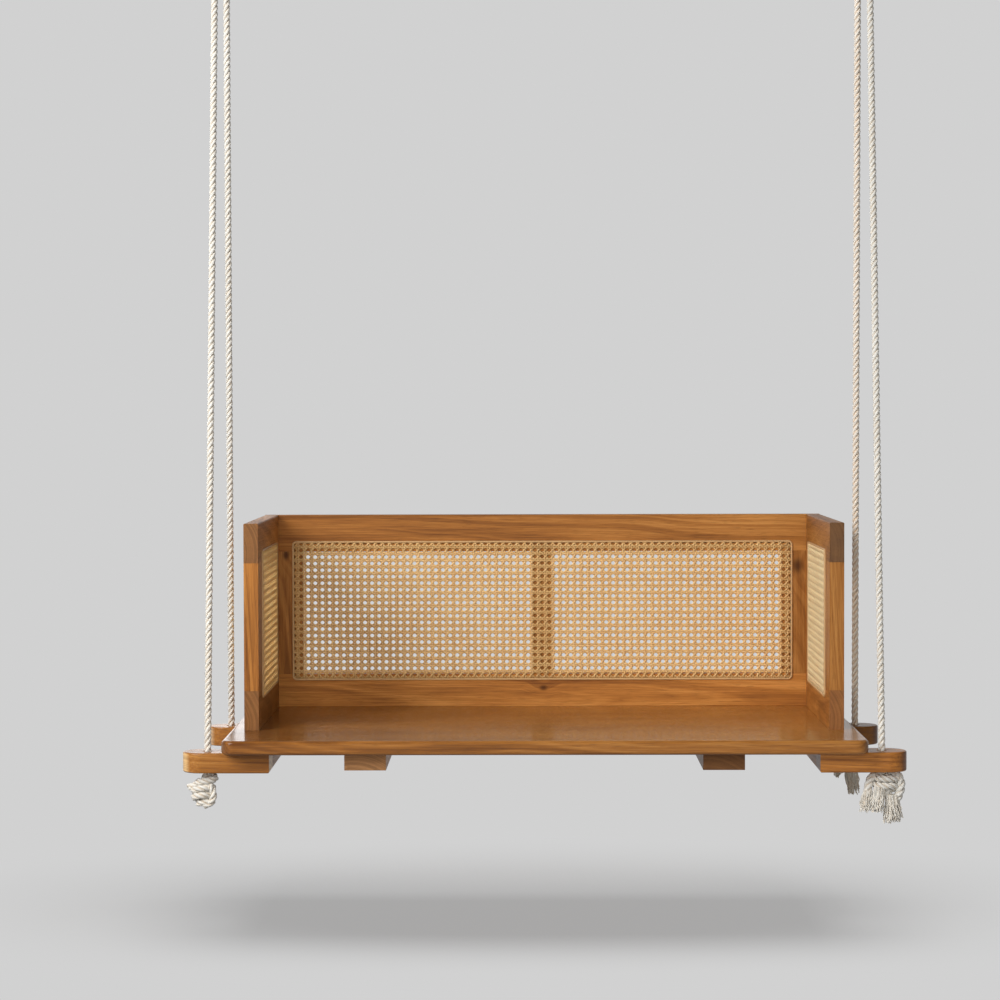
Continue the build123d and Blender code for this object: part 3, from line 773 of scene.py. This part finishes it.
# %% [markdown]
# ## Eyes and splices
# At the top each rope turns round a steel thimble, which keeps it from being pinched on the roller.
# Its end is then spliced back into the rope: the three loose strands go over one strand and under
# the next, against the lay, and get thinner as they go down. The eye's own strands have to run on
# into the rope's, so the turn that they start with is worked out backwards from where they meet.

# %% Splice the eyes
PIN_X = {"front": 0.577, "rear": 0.559}
PIN_Z = -0.044
EYE_RADIUS = 22.0 * MM
EYE_DEPTH = 60.0 * MM
ROPE_RADIUS = ROPE_DIAMETER / 2
CROWN_STEPS = 24
TUCK_TURN = 0.6
TUCK_WAVE = 1.6 * MM
TUCK_OFFSETS = (6.2 * MM, 3.6 * MM)
TUCK_RADII = (2.7 * MM, 1.2 * MM)


def eye_lines(end, side):
    """The rope's end from under the thimble, round it and down to the splice, and the splice."""
    pin = Vector((SIDES[side] * PIN_X[end], 0, PIN_Z))
    splice_end = route(end, side)[0]
    down = (splice_end - pin).normalized()
    beside = down.cross(Vector((1, 0, 0))).normalized()

    def at(across, depth):
        return pin + beside * across + down * depth

    lean = math.asin(EYE_RADIUS / math.hypot(ROPE_RADIUS, EYE_DEPTH))
    lean -= math.atan2(ROPE_RADIUS, EYE_DEPTH)
    line = [at(-ROPE_RADIUS / 2, EYE_DEPTH + ROPE_RADIUS), at(-ROPE_RADIUS, EYE_DEPTH)]
    for step in range(CROWN_STEPS + 1):
        angle = math.pi + lean - (math.pi + 2 * lean) * step / CROWN_STEPS
        line.append(at(EYE_RADIUS * math.cos(angle), -EYE_RADIUS * math.sin(angle)))
    line += [at(ROPE_RADIUS, EYE_DEPTH), at(0, EYE_DEPTH + 2 * ROPE_DIAMETER), splice_end]
    return line, [at(0, EYE_DEPTH - ROPE_RADIUS), splice_end]


def phase_to_meet(line, following, phase):
    """The phase with which strands along one line run on into those along the next."""
    even, length = evenly(line, LAY / RINGS_PER_LAY)
    _, _, across, beside = carried_frames(even)[-1]
    start = carried_frames(following)[0][2]
    return math.atan2(start.dot(beside), start.dot(across)) + phase - FULL_TURN * length / LAY


def tucked_strands(mesh, line):
    """Winds three thinning strands against the lay, over one strand of the rope and under one."""
    even, length = evenly(line, LAY / RINGS_PER_LAY)
    frames = carried_frames(even)
    for strand in range(STRANDS):
        centres, radii, outward = [], [], []
        for index, (point, _, across, beside) in enumerate(frames):
            share = index / (len(frames) - 1)
            turn = FULL_TURN * share * length / LAY
            angle = FULL_TURN * strand / STRANDS - turn * TUCK_TURN
            over = math.cos(1.5 * turn * (1 + TUCK_TURN)) * TUCK_WAVE
            offset = TUCK_OFFSETS[0] + (TUCK_OFFSETS[1] - TUCK_OFFSETS[0]) * share + over * (1 - share)
            outward.append(across * math.cos(angle) + beside * math.sin(angle))
            centres.append(point + outward[-1] * offset)
            radii.append(TUCK_RADII[0] + (TUCK_RADII[1] - TUCK_RADII[0]) * share)
        tube(mesh, centres, radii, outward)


rope_ends = {}
for name, (end, side) in ROPES.items():
    mesh = bmesh.new()
    eye, splice = eye_lines(end, side)
    laid_strands(mesh, eye, phase=phase_to_meet(eye, rope_lines[name], ROPE_PHASE[side]))
    tucked_strands(mesh, splice)
    piece = rope_piece(mesh, "spliced_eye", "rope_eye", name)
    rope_ends[name] = [piece, frame["nodes"][f"thimble_{name}"]]
print("four eyes, each", round(EYE_DEPTH / MM), "mm deep, with three tucked strands")

# %% [markdown]
# ## Stopper knots
# Under the arm each rope is wound round itself into a knot too big for the hole. No two are alike:
# the front left one is compact, and the front right one is loose, with three frayed ends. Each line is
# a few points in millimetres below the hole: to the right, to the back and up.

# %% Tie the knots
KNOT_LINES = {
    "front_left": {
        "coil": [
            (0, 0, 0), (0, 1, -6), (12, 6, -10), (13, -9, -13), (-4, -14, -15), (-17, -6, -17),
            (-16, 8, -22), (0, 12, -26), (9, 6, -28), (4, -12, -26), (-10, -16, -27), (-24, -8, -30),
            (-22, 8, -36), (-4, 14, -40), (6, 4, -40), (0, -12, -39), (-12, -16, -39), (-24, -6, -42),
            (-20, 8, -48), (-4, 12, -52), (8, 6, -52), (4, -10, -51), (-10, -10, -51), (-16, -2, -54),
        ],
        "bight": [(4, -12, -22), (10, -12, -30), (11, -12, -44), (4, -10, -55), (-6, -8, -57)],
        "end": [(-8, 6, -19), (-22, 2, -24), (-33, 0, -28)],
        "core": [(0, 0, -8), (-4, 0, -20), (-6, 0, -48)],
    },
    "front_right": {
        "coil": [
            (0, 0, 0), (0, 2, -5), (-10, 4, -8), (-9, -11, -12), (8, -16, -13), (24, -8, -14),
            (22, 8, -18), (4, 12, -21), (-12, 4, -23), (-9, -12, -24), (8, -17, -25), (24, -8, -26),
            (20, 6, -32), (4, 6, -36), (-6, -4, -38),
        ],
        "right bight": [(6, 4, -2), (22, 0, -3), (31, -5, -14), (32, -7, -32), (24, -8, -48)],
        "left bight": [(2, 6, -4), (-10, 2, -5), (-20, -4, -14), (-24, -7, -28), (-25, -8, -38)],
        "core": [(4, 0, -8), (6, 0, -24), (8, 0, -44)],
    },
    "rear_left": {
        "coil": [
            (0, 0, 0), (0, 2, -6), (-14, 4, -9), (-9, -13, -14), (13, -9, -18), (12, 10, -24),
            (-10, 10, -30), (-7, -6, -35),
        ],
        "core": [(0, 0, -8), (-1, 0, -20), (-3, 2, -36)],
    },
    "rear_right": {
        "coil": [
            (0, 0, 0), (0, 2, -6), (14, 4, -10), (9, -13, -16), (-14, -9, -20), (-12, 10, -27),
            (10, 10, -33), (11, -8, -37), (-10, -6, -42),
        ],
        "core": [(0, 0, -8), (-2, 0, -24), (-6, 0, -44)],
    },
}
KNOT_SCALES = {"right bight": 1.25, "left bight": 1.2, "core": 1.6}
KNOT_STEPS = 12
for name, knot_lines in KNOT_LINES.items():
    mesh = bmesh.new()
    for part, points in knot_lines.items():
        line = [rope_lines[name][-1] + Vector(point) * MM for point in points]
        laid_strands(mesh, smooth_line(line, KNOT_STEPS), KNOT_SCALES.get(part, 1.0))
    rope_ends[name].append(rope_piece(mesh, "stopper", "knot", name))
print(sum(len(lines) for lines in KNOT_LINES.values()), "lengths of rope in four knots")

# %% [markdown]
# ## Threads grown by rule
# Frayed yarns and cane strands have a rule in common, which is what Geometry Nodes are for. A grid is
# cut into separate lines, a few Math nodes put each line's points in place, and a profile is drawn
# along each line. A tree's sizes are its named inputs, so that one tree serves several pieces.

# %% Prepare a tree that grows threads
STRAND_SEED = 7


def growing_tree(name, counts, sizes):
    """The graph of a tree whose named inputs are some counts, some sizes and what all trees have."""
    inputs = {"Int": counts, "Float": sizes, "Vector": ["Place", "Turn"], "Material": ["Material"]}
    tree = bpy.data.node_groups.new(name, "GeometryNodeTree")
    tree.is_modifier = True
    for kind, titles in inputs.items():
        for title in titles:
            tree.interface.new_socket(title, in_out="INPUT", socket_type=f"NodeSocket{kind}")
    tree.interface.new_socket("Geometry", in_out="OUTPUT", socket_type="NodeSocketGeometry")
    graph = Graph(tree)
    return graph, graph.outputs("NodeGroupInput")


def separate_lines(graph, lines, samples):
    """A grid's columns as separate lines, with each point's line number and share of the way."""
    inputs = {"Size X": lines - 1.0, "Size Y": 1.0, "Vertices X": lines, "Vertices Y": samples}
    grid = graph.node("GeometryNodeMeshGrid", inputs=inputs)
    ends = graph.outputs("GeometryNodeInputMeshEdgeVertices")
    first, second = [graph.parts(ends[f"Position {number}"])["X"] for number in (1, 2)]
    settings = {"domain": "EDGE", "mode": "EDGE_FACE"}
    crosswise = (first - second).size().math("GREATER_THAN", 0.5)
    cut = graph.node("GeometryNodeDeleteGeometry", settings, Geometry=grid, Selection=crosswise)
    x, y, _ = graph.parts(graph.node("GeometryNodeInputPosition")).values()
    return cut, (x + (lines - 1.0) / 2.0).math("ROUND"), y + 0.5


def random_share(graph, number, seed):
    """A random number from 0 to 1 for each line."""
    return graph.node("FunctionNodeRandomValue", output=1, ID=number, Seed=seed)


def drawn_threads(graph, threads, number, position, profile, sockets, normal="Z_UP", radius=None):
    """Moves the lines' points, draws a profile along each line and gives it its material."""
    stored = {"strand": random_share(graph, number, STRAND_SEED)}
    if radius is not None:
        stored["taper"] = radius
    for title, value in stored.items():
        inputs = {"Geometry": threads, "Name": title, "Value": value}
        threads = graph.node("GeometryNodeStoreNamedAttribute", inputs=inputs)
    moved = graph.node("GeometryNodeSetPosition", Geometry=threads, Position=position)
    curves = graph.node("GeometryNodeMeshToCurve", Mesh=moved)
    curves = graph.node("GeometryNodeSetCurveNormal", {"mode": normal}, Curve=curves)
    if radius is not None:
        taper = graph.node("GeometryNodeInputNamedAttribute", Name="taper")
        curves = graph.node("GeometryNodeSetCurveRadius", Curve=curves, Radius=taper)
    mesh = graph.node("GeometryNodeCurveToMesh", Curve=curves, Profile_Curve=profile, Fill_Caps=True)
    mesh = graph.node("GeometryNodeSetShadeSmooth", Geometry=mesh)
    inputs = {"Geometry": mesh, "Translation": sockets["Place"], "Rotation": sockets["Turn"]}
    placed = graph.node("GeometryNodeTransform", inputs=inputs)
    real = graph.node("GeometryNodeRealizeInstances", Geometry=placed)
    drawn = graph.node("GeometryNodeSetMaterial", Geometry=real, Material=sockets["Material"])
    graph.node("NodeGroupOutput", Geometry=drawn)
    return graph.owner


def grown(tree, name, values):
    """Runs a tree with its inputs set, and keeps the result as a plain piece."""
    holder = in_scene("grower", bpy.data.meshes.new("grower"))
    modifier = holder.modifiers.new("grow", "NODES")
    modifier.node_group = tree
    for item in tree.interface.items_tree:
        if item.in_out == "INPUT":
            modifier[item.identifier] = values[item.name]
    graph = bpy.context.evaluated_depsgraph_get()
    mesh = bpy.data.meshes.new_from_object(holder.evaluated_get(graph))
    holder.modifiers.remove(modifier)
    bpy.data.objects.remove(holder)
    mesh.name = name
    return in_scene(name, mesh)


print("threads are grown from a grid's columns")

# %% [markdown]
# ## Frayed ends
# Where a rope end is left open, its strands come apart into yarns. They start close together, spread
# and wave more and more towards their tips, and end at different heights.

# %% Fray the rope ends
TASSEL_COUNTS = ["Yarns", "Samples", "Seed"]
TASSEL_SIZES = ["Length", "Root radius", "Tip radius", "Waviness", "Yarn radius"]
SHORTEST_YARN = 0.62


def tassel_tree():
    graph, size = growing_tree("tassel", TASSEL_COUNTS, TASSEL_SIZES)
    threads, number, share = separate_lines(graph, size["Yarns"], size["Samples"])
    seed = size["Seed"]
    out = random_share(graph, number, seed) ** 0.5
    angle = random_share(graph, number, seed + 1.0) * FULL_TURN
    fall = random_share(graph, number, seed + 2.0) * (1 - SHORTEST_YARN) + SHORTEST_YARN
    spread = size["Root radius"] + (size["Tip radius"] - size["Root radius"]) * share
    across = []
    for circle, start in ((angle.cosine(), 0.0), (angle.sine(), 40.0)):
        bend = graph.noise(graph.vector(number * 1.7 + start, share * 2.6, seed), 1.0, 1.0) - 0.5
        across.append(out * circle * spread + bend * size["Waviness"] * share * 2.0)
    position = graph.vector(*across, -share * fall * size["Length"])
    inputs = {"Resolution": 5, "Radius": size["Yarn radius"]}
    profile = graph.node("GeometryNodeCurvePrimitiveCircle", inputs=inputs)
    taper = 1.0 - share * 0.45
    return drawn_threads(graph, threads, number, position, profile, size, "MINIMUM_TWIST", taper)


def frayed_cotton(name, handled=0.0):
    graph = Graph(bpy.data.materials.new(name))
    yarn = graph.node("ShaderNodeAttribute", {"attribute_name": "strand"}, output="Fac")
    fluff = graph.noise(graph.place(), 1800.0, 3.0, 0.7)
    # The second argument adds painted shade to the whole tassel
    colour = graph.mixed(yarn * 0.42 + fluff * 0.30 + handled, COTTON, COTTON_SHADE)
    return finished(graph, colour, 0.95, fluff, 0.3 * MM, Sheen_Weight=0.25, Sheen_Roughness=0.5)


# Each tassel's rope, its root and tip in millimetres from the hole, the two radii and its yarns
TASSELS = {
    "frayed_left": ("front_right", (-24, -8, -32), (-28, -8, -70), 7.0, 10.5, 80),
    "frayed_middle": ("front_right", (-5, -12, -27), (-9, -13, -70), 9.5, 10.0, 100),
    "frayed_right": ("front_right", (16, -8, -40), (20, -8, -88), 10.0, 16.0, 130),
    "frayed_rear": ("rear_right", (-8, -2, -36), (-2, -2, -94), 14.0, 9.0, 110),
    "frayed_stub": ("rear_right", (-18, -4, -40), (-38, -6, -58), 7.0, 5.0, 60),
}
tassel = tassel_tree()
frayed = {
    "front_right": frayed_cotton("frayed cotton"),
    # The rear right tassel hangs in shade, which is painted on it
    "rear_right": frayed_cotton("frayed handled cotton", 0.18),
}
for number, (title, (name, root, tip, root_radius, tip_radius, yarns)) in enumerate(TASSELS.items()):
    fall = (Vector(tip) - Vector(root)) * MM
    values = {
        "Yarns": yarns, "Samples": 12, "Length": fall.length, "Seed": 11 * number + 3,
        "Root radius": root_radius * MM, "Tip radius": tip_radius * MM,
        "Waviness": 9.0 * MM, "Yarn radius": 0.95 * MM,
        "Place": rope_lines[name][-1] + Vector(root) * MM,
        "Turn": fall.to_track_quat("-Z", "Y").to_euler(),
        "Material": frayed[name],
    }
    piece = grown(tassel, title, values)
    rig.ride(piece, "swing")
    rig.slot(piece, "rope")
    rope_ends[name].append(piece)
print(len(TASSELS), "frayed ends,", sum(entry[5] for entry in TASSELS.values()), "yarns")

for name, rope in ropes.items():
    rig.cord(
        rope,
        exit=rope_lines[name][-1],
        length=evenly(rope_lines[name], MEASURE_STEP)[1],
        diameter=ROPE_DIAMETER,
        far_end="fitting",
        stiffness="medium",
        lay="taut",
        path=rope_lines[name],
        with_pieces=rope_ends[name],
    )
print("each rope goes with", ", ".join(piece.name for piece in rope_ends["front_right"]))

# %% [markdown]
# ## Six-way cane, grown by rule
# Cane webbing is woven from flat strands in four directions: pairs of uprights, pairs of level
# strands, and single strands along both diagonals. Where the diagonals cut the corners of the
# squares, eight-sided holes are left. Every strand is real here, and rises and dips over the strands
# that it crosses.
#
# Each direction has a tree of its own, whose profile is flat. At the edge of the sheet the strands
# turn down into the groove. Heights follow sine waves, so that at each crossing one strand is up and
# the other down.

# %% Weave one direction of the cane
CANE_COUNTS = ["Lines", "Samples"]
CANE_SIZES = [
    "Half length", "Half height", "Pitch across", "Pitch up", "Shift up",
    "Strand width", "Strand thickness", "Tail",
]
PAIR_SPREAD = 0.12
PAIR_WAVE = 0.42 * MM
# A sine wave's height where the two strands of a pair cross another pair
CROSSING_SINE = 0.69
DIAGONAL_WAVE = 0.62 * MM
WEAVE_LIFT = 1.05 * MM
GROOVE_SLOPE = 0.25
STRAND_TOP = 0.55


def cane_tree(direction):
    """The tree of one direction: upright, level, rising or falling."""
    graph, size = growing_tree(f"cane {direction}", CANE_COUNTS, CANE_SIZES)
    threads, number, share = separate_lines(graph, size["Lines"], size["Samples"])
    half_length, half_height, pitch_across, pitch_up, shift, width, thickness, tail = [
        size[title] for title in CANE_SIZES
    ]
    if direction in ("upright", "level"):
        pair = (number / 2.0).math("FLOOR")
        member = (number - pair * 2.0) * 2.0 - 1.0
        place = pair - (size["Lines"] / 2.0 - 1.0) / 2.0 + member * PAIR_SPREAD
    if direction == "upright":
        x = place * pitch_across
        z = (share * 2.0 - 1.0) * (half_height + tail)
        wave = member * ((z - shift) / pitch_up * FULL_TURN).sine() * (PAIR_WAVE / CROSSING_SINE)
    elif direction == "level":
        x = (share * 2.0 - 1.0) * (half_length + tail)
        z = place * pitch_up + shift
        wave = -member * (x / pitch_across * FULL_TURN).sine() * (PAIR_WAVE / CROSSING_SINE)
    else:
        way = 1.0 if direction == "rising" else -1.0
        step = number - (size["Lines"] - 1.0) / 2.0
        reach = (half_height + tail + shift.size()) / pitch_up
        start = ((step - reach) * pitch_across).at_least(-(half_length + tail))
        stop = ((step + reach) * pitch_across).at_most(half_length + tail)
        x = start + (stop - start) * share
        z = (step - x / pitch_across) * pitch_up * -way + shift
        wave = (x / pitch_across * FULL_TURN).cosine() * (DIAGONAL_WAVE * -way)
    flat_x = x.at_least(-half_length).at_most(half_length)
    flat_z = z.at_least(-half_height).at_most(half_height)
    drop = (x - flat_x).size().at_least((z - flat_z).size())
    sheet_x = flat_x + (x - flat_x) * GROOVE_SLOPE
    sheet_z = flat_z + (z - flat_z) * GROOVE_SLOPE
    position = graph.vector(sheet_x, sheet_z, wave + WEAVE_LIFT - drop)
    inputs = {"Bottom Width": width, "Top Width": width * STRAND_TOP, "Offset": 0.0, "Height": thickness}
    profile = graph.node("GeometryNodeCurvePrimitiveQuadrilateral", {"mode": "TRAPEZOID"}, inputs)
    return drawn_threads(graph, threads, number, position, profile, size)


CANE_TREES = {name: cane_tree(name) for name in ("upright", "level", "rising", "falling")}
print(len(CANE_TREES), "directions of strands")

# %% [markdown]
# ## The cane's colour
# Cane is the skin of rattan. It is pale straw where it is new and browner where light and hands have
# aged it, no two strands alike, and its hard outer skin has a soft gloss. Each strand carries a
# random number from its tree, so that the colour changes from strand to strand, and not across one.
# Cane lets some light through, so where it lies on wood it gets painted shade.

# %% Finish the cane
CANE_SHADE = (0.34, 0.17, 0.055)
WOOD_FADE = 1.5 * MM
GROOVE_INSET = 17.0 * MM
LOW_GROOVE_INSET = 9.0 * MM
CENTRE_STILE_HALF = 19.0 * MM


def cane_finish(name, fresh, aged, wood_behind=()):
    """wood_behind lists an axis and the low and high place along it of each piece of wood."""
    graph = Graph(bpy.data.materials.new(name))
    place = graph.place()
    strand = graph.node("ShaderNodeAttribute", {"attribute_name": "strand"}, output="Fac")
    fibre = graph.noise(place, 1500.0, 2.0, 0.6)
    patch = graph.noise(place, 7.0, 3.0)
    share = strand * 0.45 + fibre * 0.25 + patch * 0.30
    colour = graph.mixed(share.between(0.15, 0.85), fresh, aged)
    axes = graph.parts(place)
    # Painted shade where wood behind the cane stops light from passing through
    for axis, low, high in wood_behind:
        far, half = (axes[axis] - (low + high) / 2).size(), (high - low) / 2
        shade_on_wood = 1 - far.between(half - WOOD_FADE, half + WOOD_FADE)
        colour = graph.mixed(shade_on_wood * 0.30, colour, CANE_SHADE)
    return finished(graph, colour, 0.40 + fibre * 0.12, fibre, 0.06 * MM, Coat_Weight=0.12)


sheet_low, sheet_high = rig.box("back_cane")
BACK_WOOD = [
    ("X", -CENTRE_STILE_HALF, CENTRE_STILE_HALF),
    ("X", sheet_low.x, sheet_low.x + GROOVE_INSET),
    ("X", sheet_high.x - GROOVE_INSET, sheet_high.x),
    ("Z", sheet_low.z, sheet_low.z + LOW_GROOVE_INSET),
    ("Z", sheet_high.z - GROOVE_INSET, sheet_high.z),
]
# The sheets differ in colour as painted light: the right side's is paler, painted as lit by the key lamp, and the left
# side's is painted lighter, to stand for light that its shaded place lacks
CANES = {
    "back": cane_finish("back cane", (0.97, 0.65, 0.285), (0.77, 0.43, 0.150), BACK_WOOD),
    "left": cane_finish("left cane", (0.99, 0.72, 0.32), (0.99, 0.60, 0.20)),
    "right": cane_finish("right cane", (0.99, 0.84, 0.52), (0.97, 0.73, 0.40)),
}
print(len(CANES), "sheets of cane, with strands of uneven colour")

# %% [markdown]
# ## Cane for the back and the sides
# The sheet's size comes from the ready-made sheet that it replaces. One sheet runs right across the
# back and over its middle stile. Holes are centred across; up and down only on the sides, as the back's sit a little
# higher.

# %% Weave the three sheets
CANE_PITCH_ACROSS = 13.17 * MM
CANE_PITCH_UP = 12.19 * MM
CANE_SHIFT_UP = 2.6 * MM
CANE_WIDTH = 2.6 * MM
CANE_SKIN = 0.75 * MM
CANE_TAIL = 4.0 * MM
LIP_HALF = 0.7 * MM
SHEET_THICKNESS = 1.4 * MM
SAMPLES_PER_PITCH = 6
FACING_TURN = {"front": 0.0, "right": math.pi / 2, "left": -math.pi / 2}


def cane_sheet(sheet, facing, shift_up=0.0):
    """Weaves one sheet in place of a plain one. facing is the way that its front faces."""
    low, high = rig.box(f"{sheet}_cane")
    size = high - low
    half_length = max(size.x, size.y) / 2 - LIP_HALF
    half_height = size.z / 2 - LIP_HALF
    place = (low + high) / 2
    if facing == "front":
        place.y = low.y + SHEET_THICKNESS
    else:
        place.x = (high.x - SHEET_THICKNESS) if facing == "right" else (low.x + SHEET_THICKNESS)
    across = 2 * (half_length + CANE_TAIL) / CANE_PITCH_ACROSS
    up = 2 * (half_height + CANE_TAIL) / CANE_PITCH_UP
    slanted = (2 * int((across + up) / 2), min(across, up))
    counts = {
        "upright": (4 * int(half_length / CANE_PITCH_ACROSS + 0.5), up),
        "level": (4 * int(half_height / CANE_PITCH_UP + 0.5), across),
        "rising": slanted,
        "falling": slanted,
    }
    for direction, (lines, pitches) in counts.items():
        values = {
            "Lines": lines, "Samples": round(pitches * SAMPLES_PER_PITCH) + 1,
            "Half length": half_length, "Half height": half_height,
            "Pitch across": CANE_PITCH_ACROSS, "Pitch up": CANE_PITCH_UP, "Shift up": shift_up,
            "Strand width": CANE_WIDTH, "Strand thickness": CANE_SKIN, "Tail": CANE_TAIL,
            "Place": place, "Turn": (math.pi / 2, 0, FACING_TURN[facing]), "Material": CANES[sheet],
        }
        piece = grown(CANE_TREES[direction], f"{sheet}_weave_{direction}", values)
        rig.ride(piece, "swing")
        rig.slot(piece, "cane")
        if direction == "upright":
            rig.replaces(piece, f"{sheet}_cane")
    print(f"{sheet} cane: {sum(lines for lines, _ in counts.values())} strands")


cane_sheet("back", "front", CANE_SHIFT_UP)
cane_sheet("left", "right")
cane_sheet("right", "left")

# %% [markdown]
# ## Floor and light
# The bench hangs in a plain pale room. A floor that is lit like the bench would darken away from the
# lamps, so past the bench's shadow it fades into the room's own colour, which only the camera and
# reflections see.
#
# The large soft key lamp stands at the left. A second one fills from the front, and two light the
# bench from behind. A lamp overhead is for the floor alone, where it draws the shadow under the
# bench: light linking gives each lamp its list of receivers.

# %% Build the room and its floor
ROOM_COLOUR = (0.638,) * 3
ROOM_FRONT = (0.10,) * 3
ROOM_FILL = (0.13,) * 3
FLOOR_Z = -1.892
FLOOR_SIZE = 40.0
SHADOW_REACH = (1.35, 0.8)
SHADOW_BACK = 0.16
SHADOW_EDGE = 0.4
FLOOR_GLOW = 0.58


def light_ray(graph, first, *others):
    """1 on a ray of any of these kinds, else 0."""
    rays = graph.outputs("ShaderNodeLightPath")
    share = rays[first]
    for kind in others:
        share = share.at_least(rays[kind])
    return share


# The room's colour to the camera, darker behind the camera, and a low fill
graph = Graph(bpy.data.worlds.new("room"))
backward = graph.parts(graph.node("ShaderNodeTexCoord"))["Y"].between(0.2, 0.8)
colour = graph.mixed(backward, ROOM_FRONT, ROOM_COLOUR)
colour = graph.mixed(light_ray(graph, "Is Glossy Ray"), ROOM_FILL, colour)
colour = graph.mixed(light_ray(graph, "Is Camera Ray", "Is Transmission Ray"), colour, ROOM_COLOUR)
background = graph.node("ShaderNodeBackground", Color=colour, Strength=1.0)
graph.node("ShaderNodeOutputWorld", Surface=background)
bpy.context.scene.world = graph.owner

# A plane that takes the shadow and fades into the room round it
mesh = bmesh.new()
half = FLOOR_SIZE / 2
corners = [(-half, -half), (half, -half), (half, half), (-half, half)]
mesh.faces.new([mesh.verts.new((x, y, FLOOR_Z)) for x, y in corners])
graph = Graph(bpy.data.materials.new("floor"))
x, y, _ = graph.parts(graph.place()).values()
back = (y - SHADOW_BACK) / SHADOW_REACH[1]
reach = ((x / SHADOW_REACH[0]) ** 2.0 + back**2.0) ** 0.5
fade = reach.between(SHADOW_EDGE, 1.0) * (1 - FLOOR_GLOW) + FLOOR_GLOW
seen = light_ray(graph, "Is Camera Ray", "Is Glossy Ray", "Is Transmission Ray")
diffuse = graph.node("ShaderNodeBsdfDiffuse", Color=(*ROOM_COLOUR, 1))
glow = graph.mixed(seen, ROOM_FILL, ROOM_COLOUR)
glow = graph.node("ShaderNodeEmission", Color=glow, Strength=1.0)
surface = graph.node("ShaderNodeMixShader", inputs=(fade, diffuse, glow))
graph.node("ShaderNodeOutputMaterial", Surface=surface)
ground = piece_from(mesh, "floor", graph.owner)
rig.stage(ground)
print("floor", FLOOR_Z, "m below the ceiling")

# %% Hang the lamps
LIT_LEVEL = math.pi**2


def receivers(name, objects):
    """A list of what a lamp lights."""
    listed = bpy.data.collections.new(name)
    for thing in objects:
        listed.objects.link(thing)
    return listed


def softbox(name, place, target, size, level, lights, shines=True):
    """A flat lamp that faces a target, and lights a face turned to it at a level of 0 to 1."""
    aim = Vector(target) - Vector(place)
    data = bpy.data.lights.new(name, "AREA")
    data.shape = "RECTANGLE"
    data.size, data.size_y = size
    data.energy = level * LIT_LEVEL * aim.length**2
    lamp = in_scene(name, data)
    lamp.location = place
    lamp.rotation_euler = aim.to_track_quat("-Z", "Y").to_euler()
    lamp.visible_glossy = shines
    lamp.light_linking.receiver_collection = lights


BENCH_MIDDLE = (0, 0, -1.4)
on_bench = receivers("lit bench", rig.pieces())
on_floor = receivers("lit floor", [ground])
softbox("key", (-2.6, -2.5, 0.4), BENCH_MIDDLE, (2.0, 2.0), 0.88, on_bench)
softbox("fill", (0.35, -4.2, -0.9), BENCH_MIDDLE, (2.4, 2.4), 0.41, on_bench, shines=False)
softbox("rear", (-1.2, 3.0, 0.0), BENCH_MIDDLE, (2.4, 2.4), 0.20, on_bench, shines=False)
softbox("low rear", (-1.4, 3.0, -1.1), BENCH_MIDDLE, (1.5, 1.2), 0.07, on_bench)
softbox("overhead", (0.14, -0.425, 1.2), (0.14, 0, FLOOR_Z), (2.0, 2.8), 1.06, on_floor)
bpy.context.scene.view_settings.view_transform = "Standard"
print("a key at the left, a fill in front, two behind, and one for the floor")

# %% Finish
low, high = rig.bounds()
with open("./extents.json", "w") as file:
    json.dump({"cad": [list(cad_low), list(cad_high)], "visual": [list(low), list(high)]}, file)
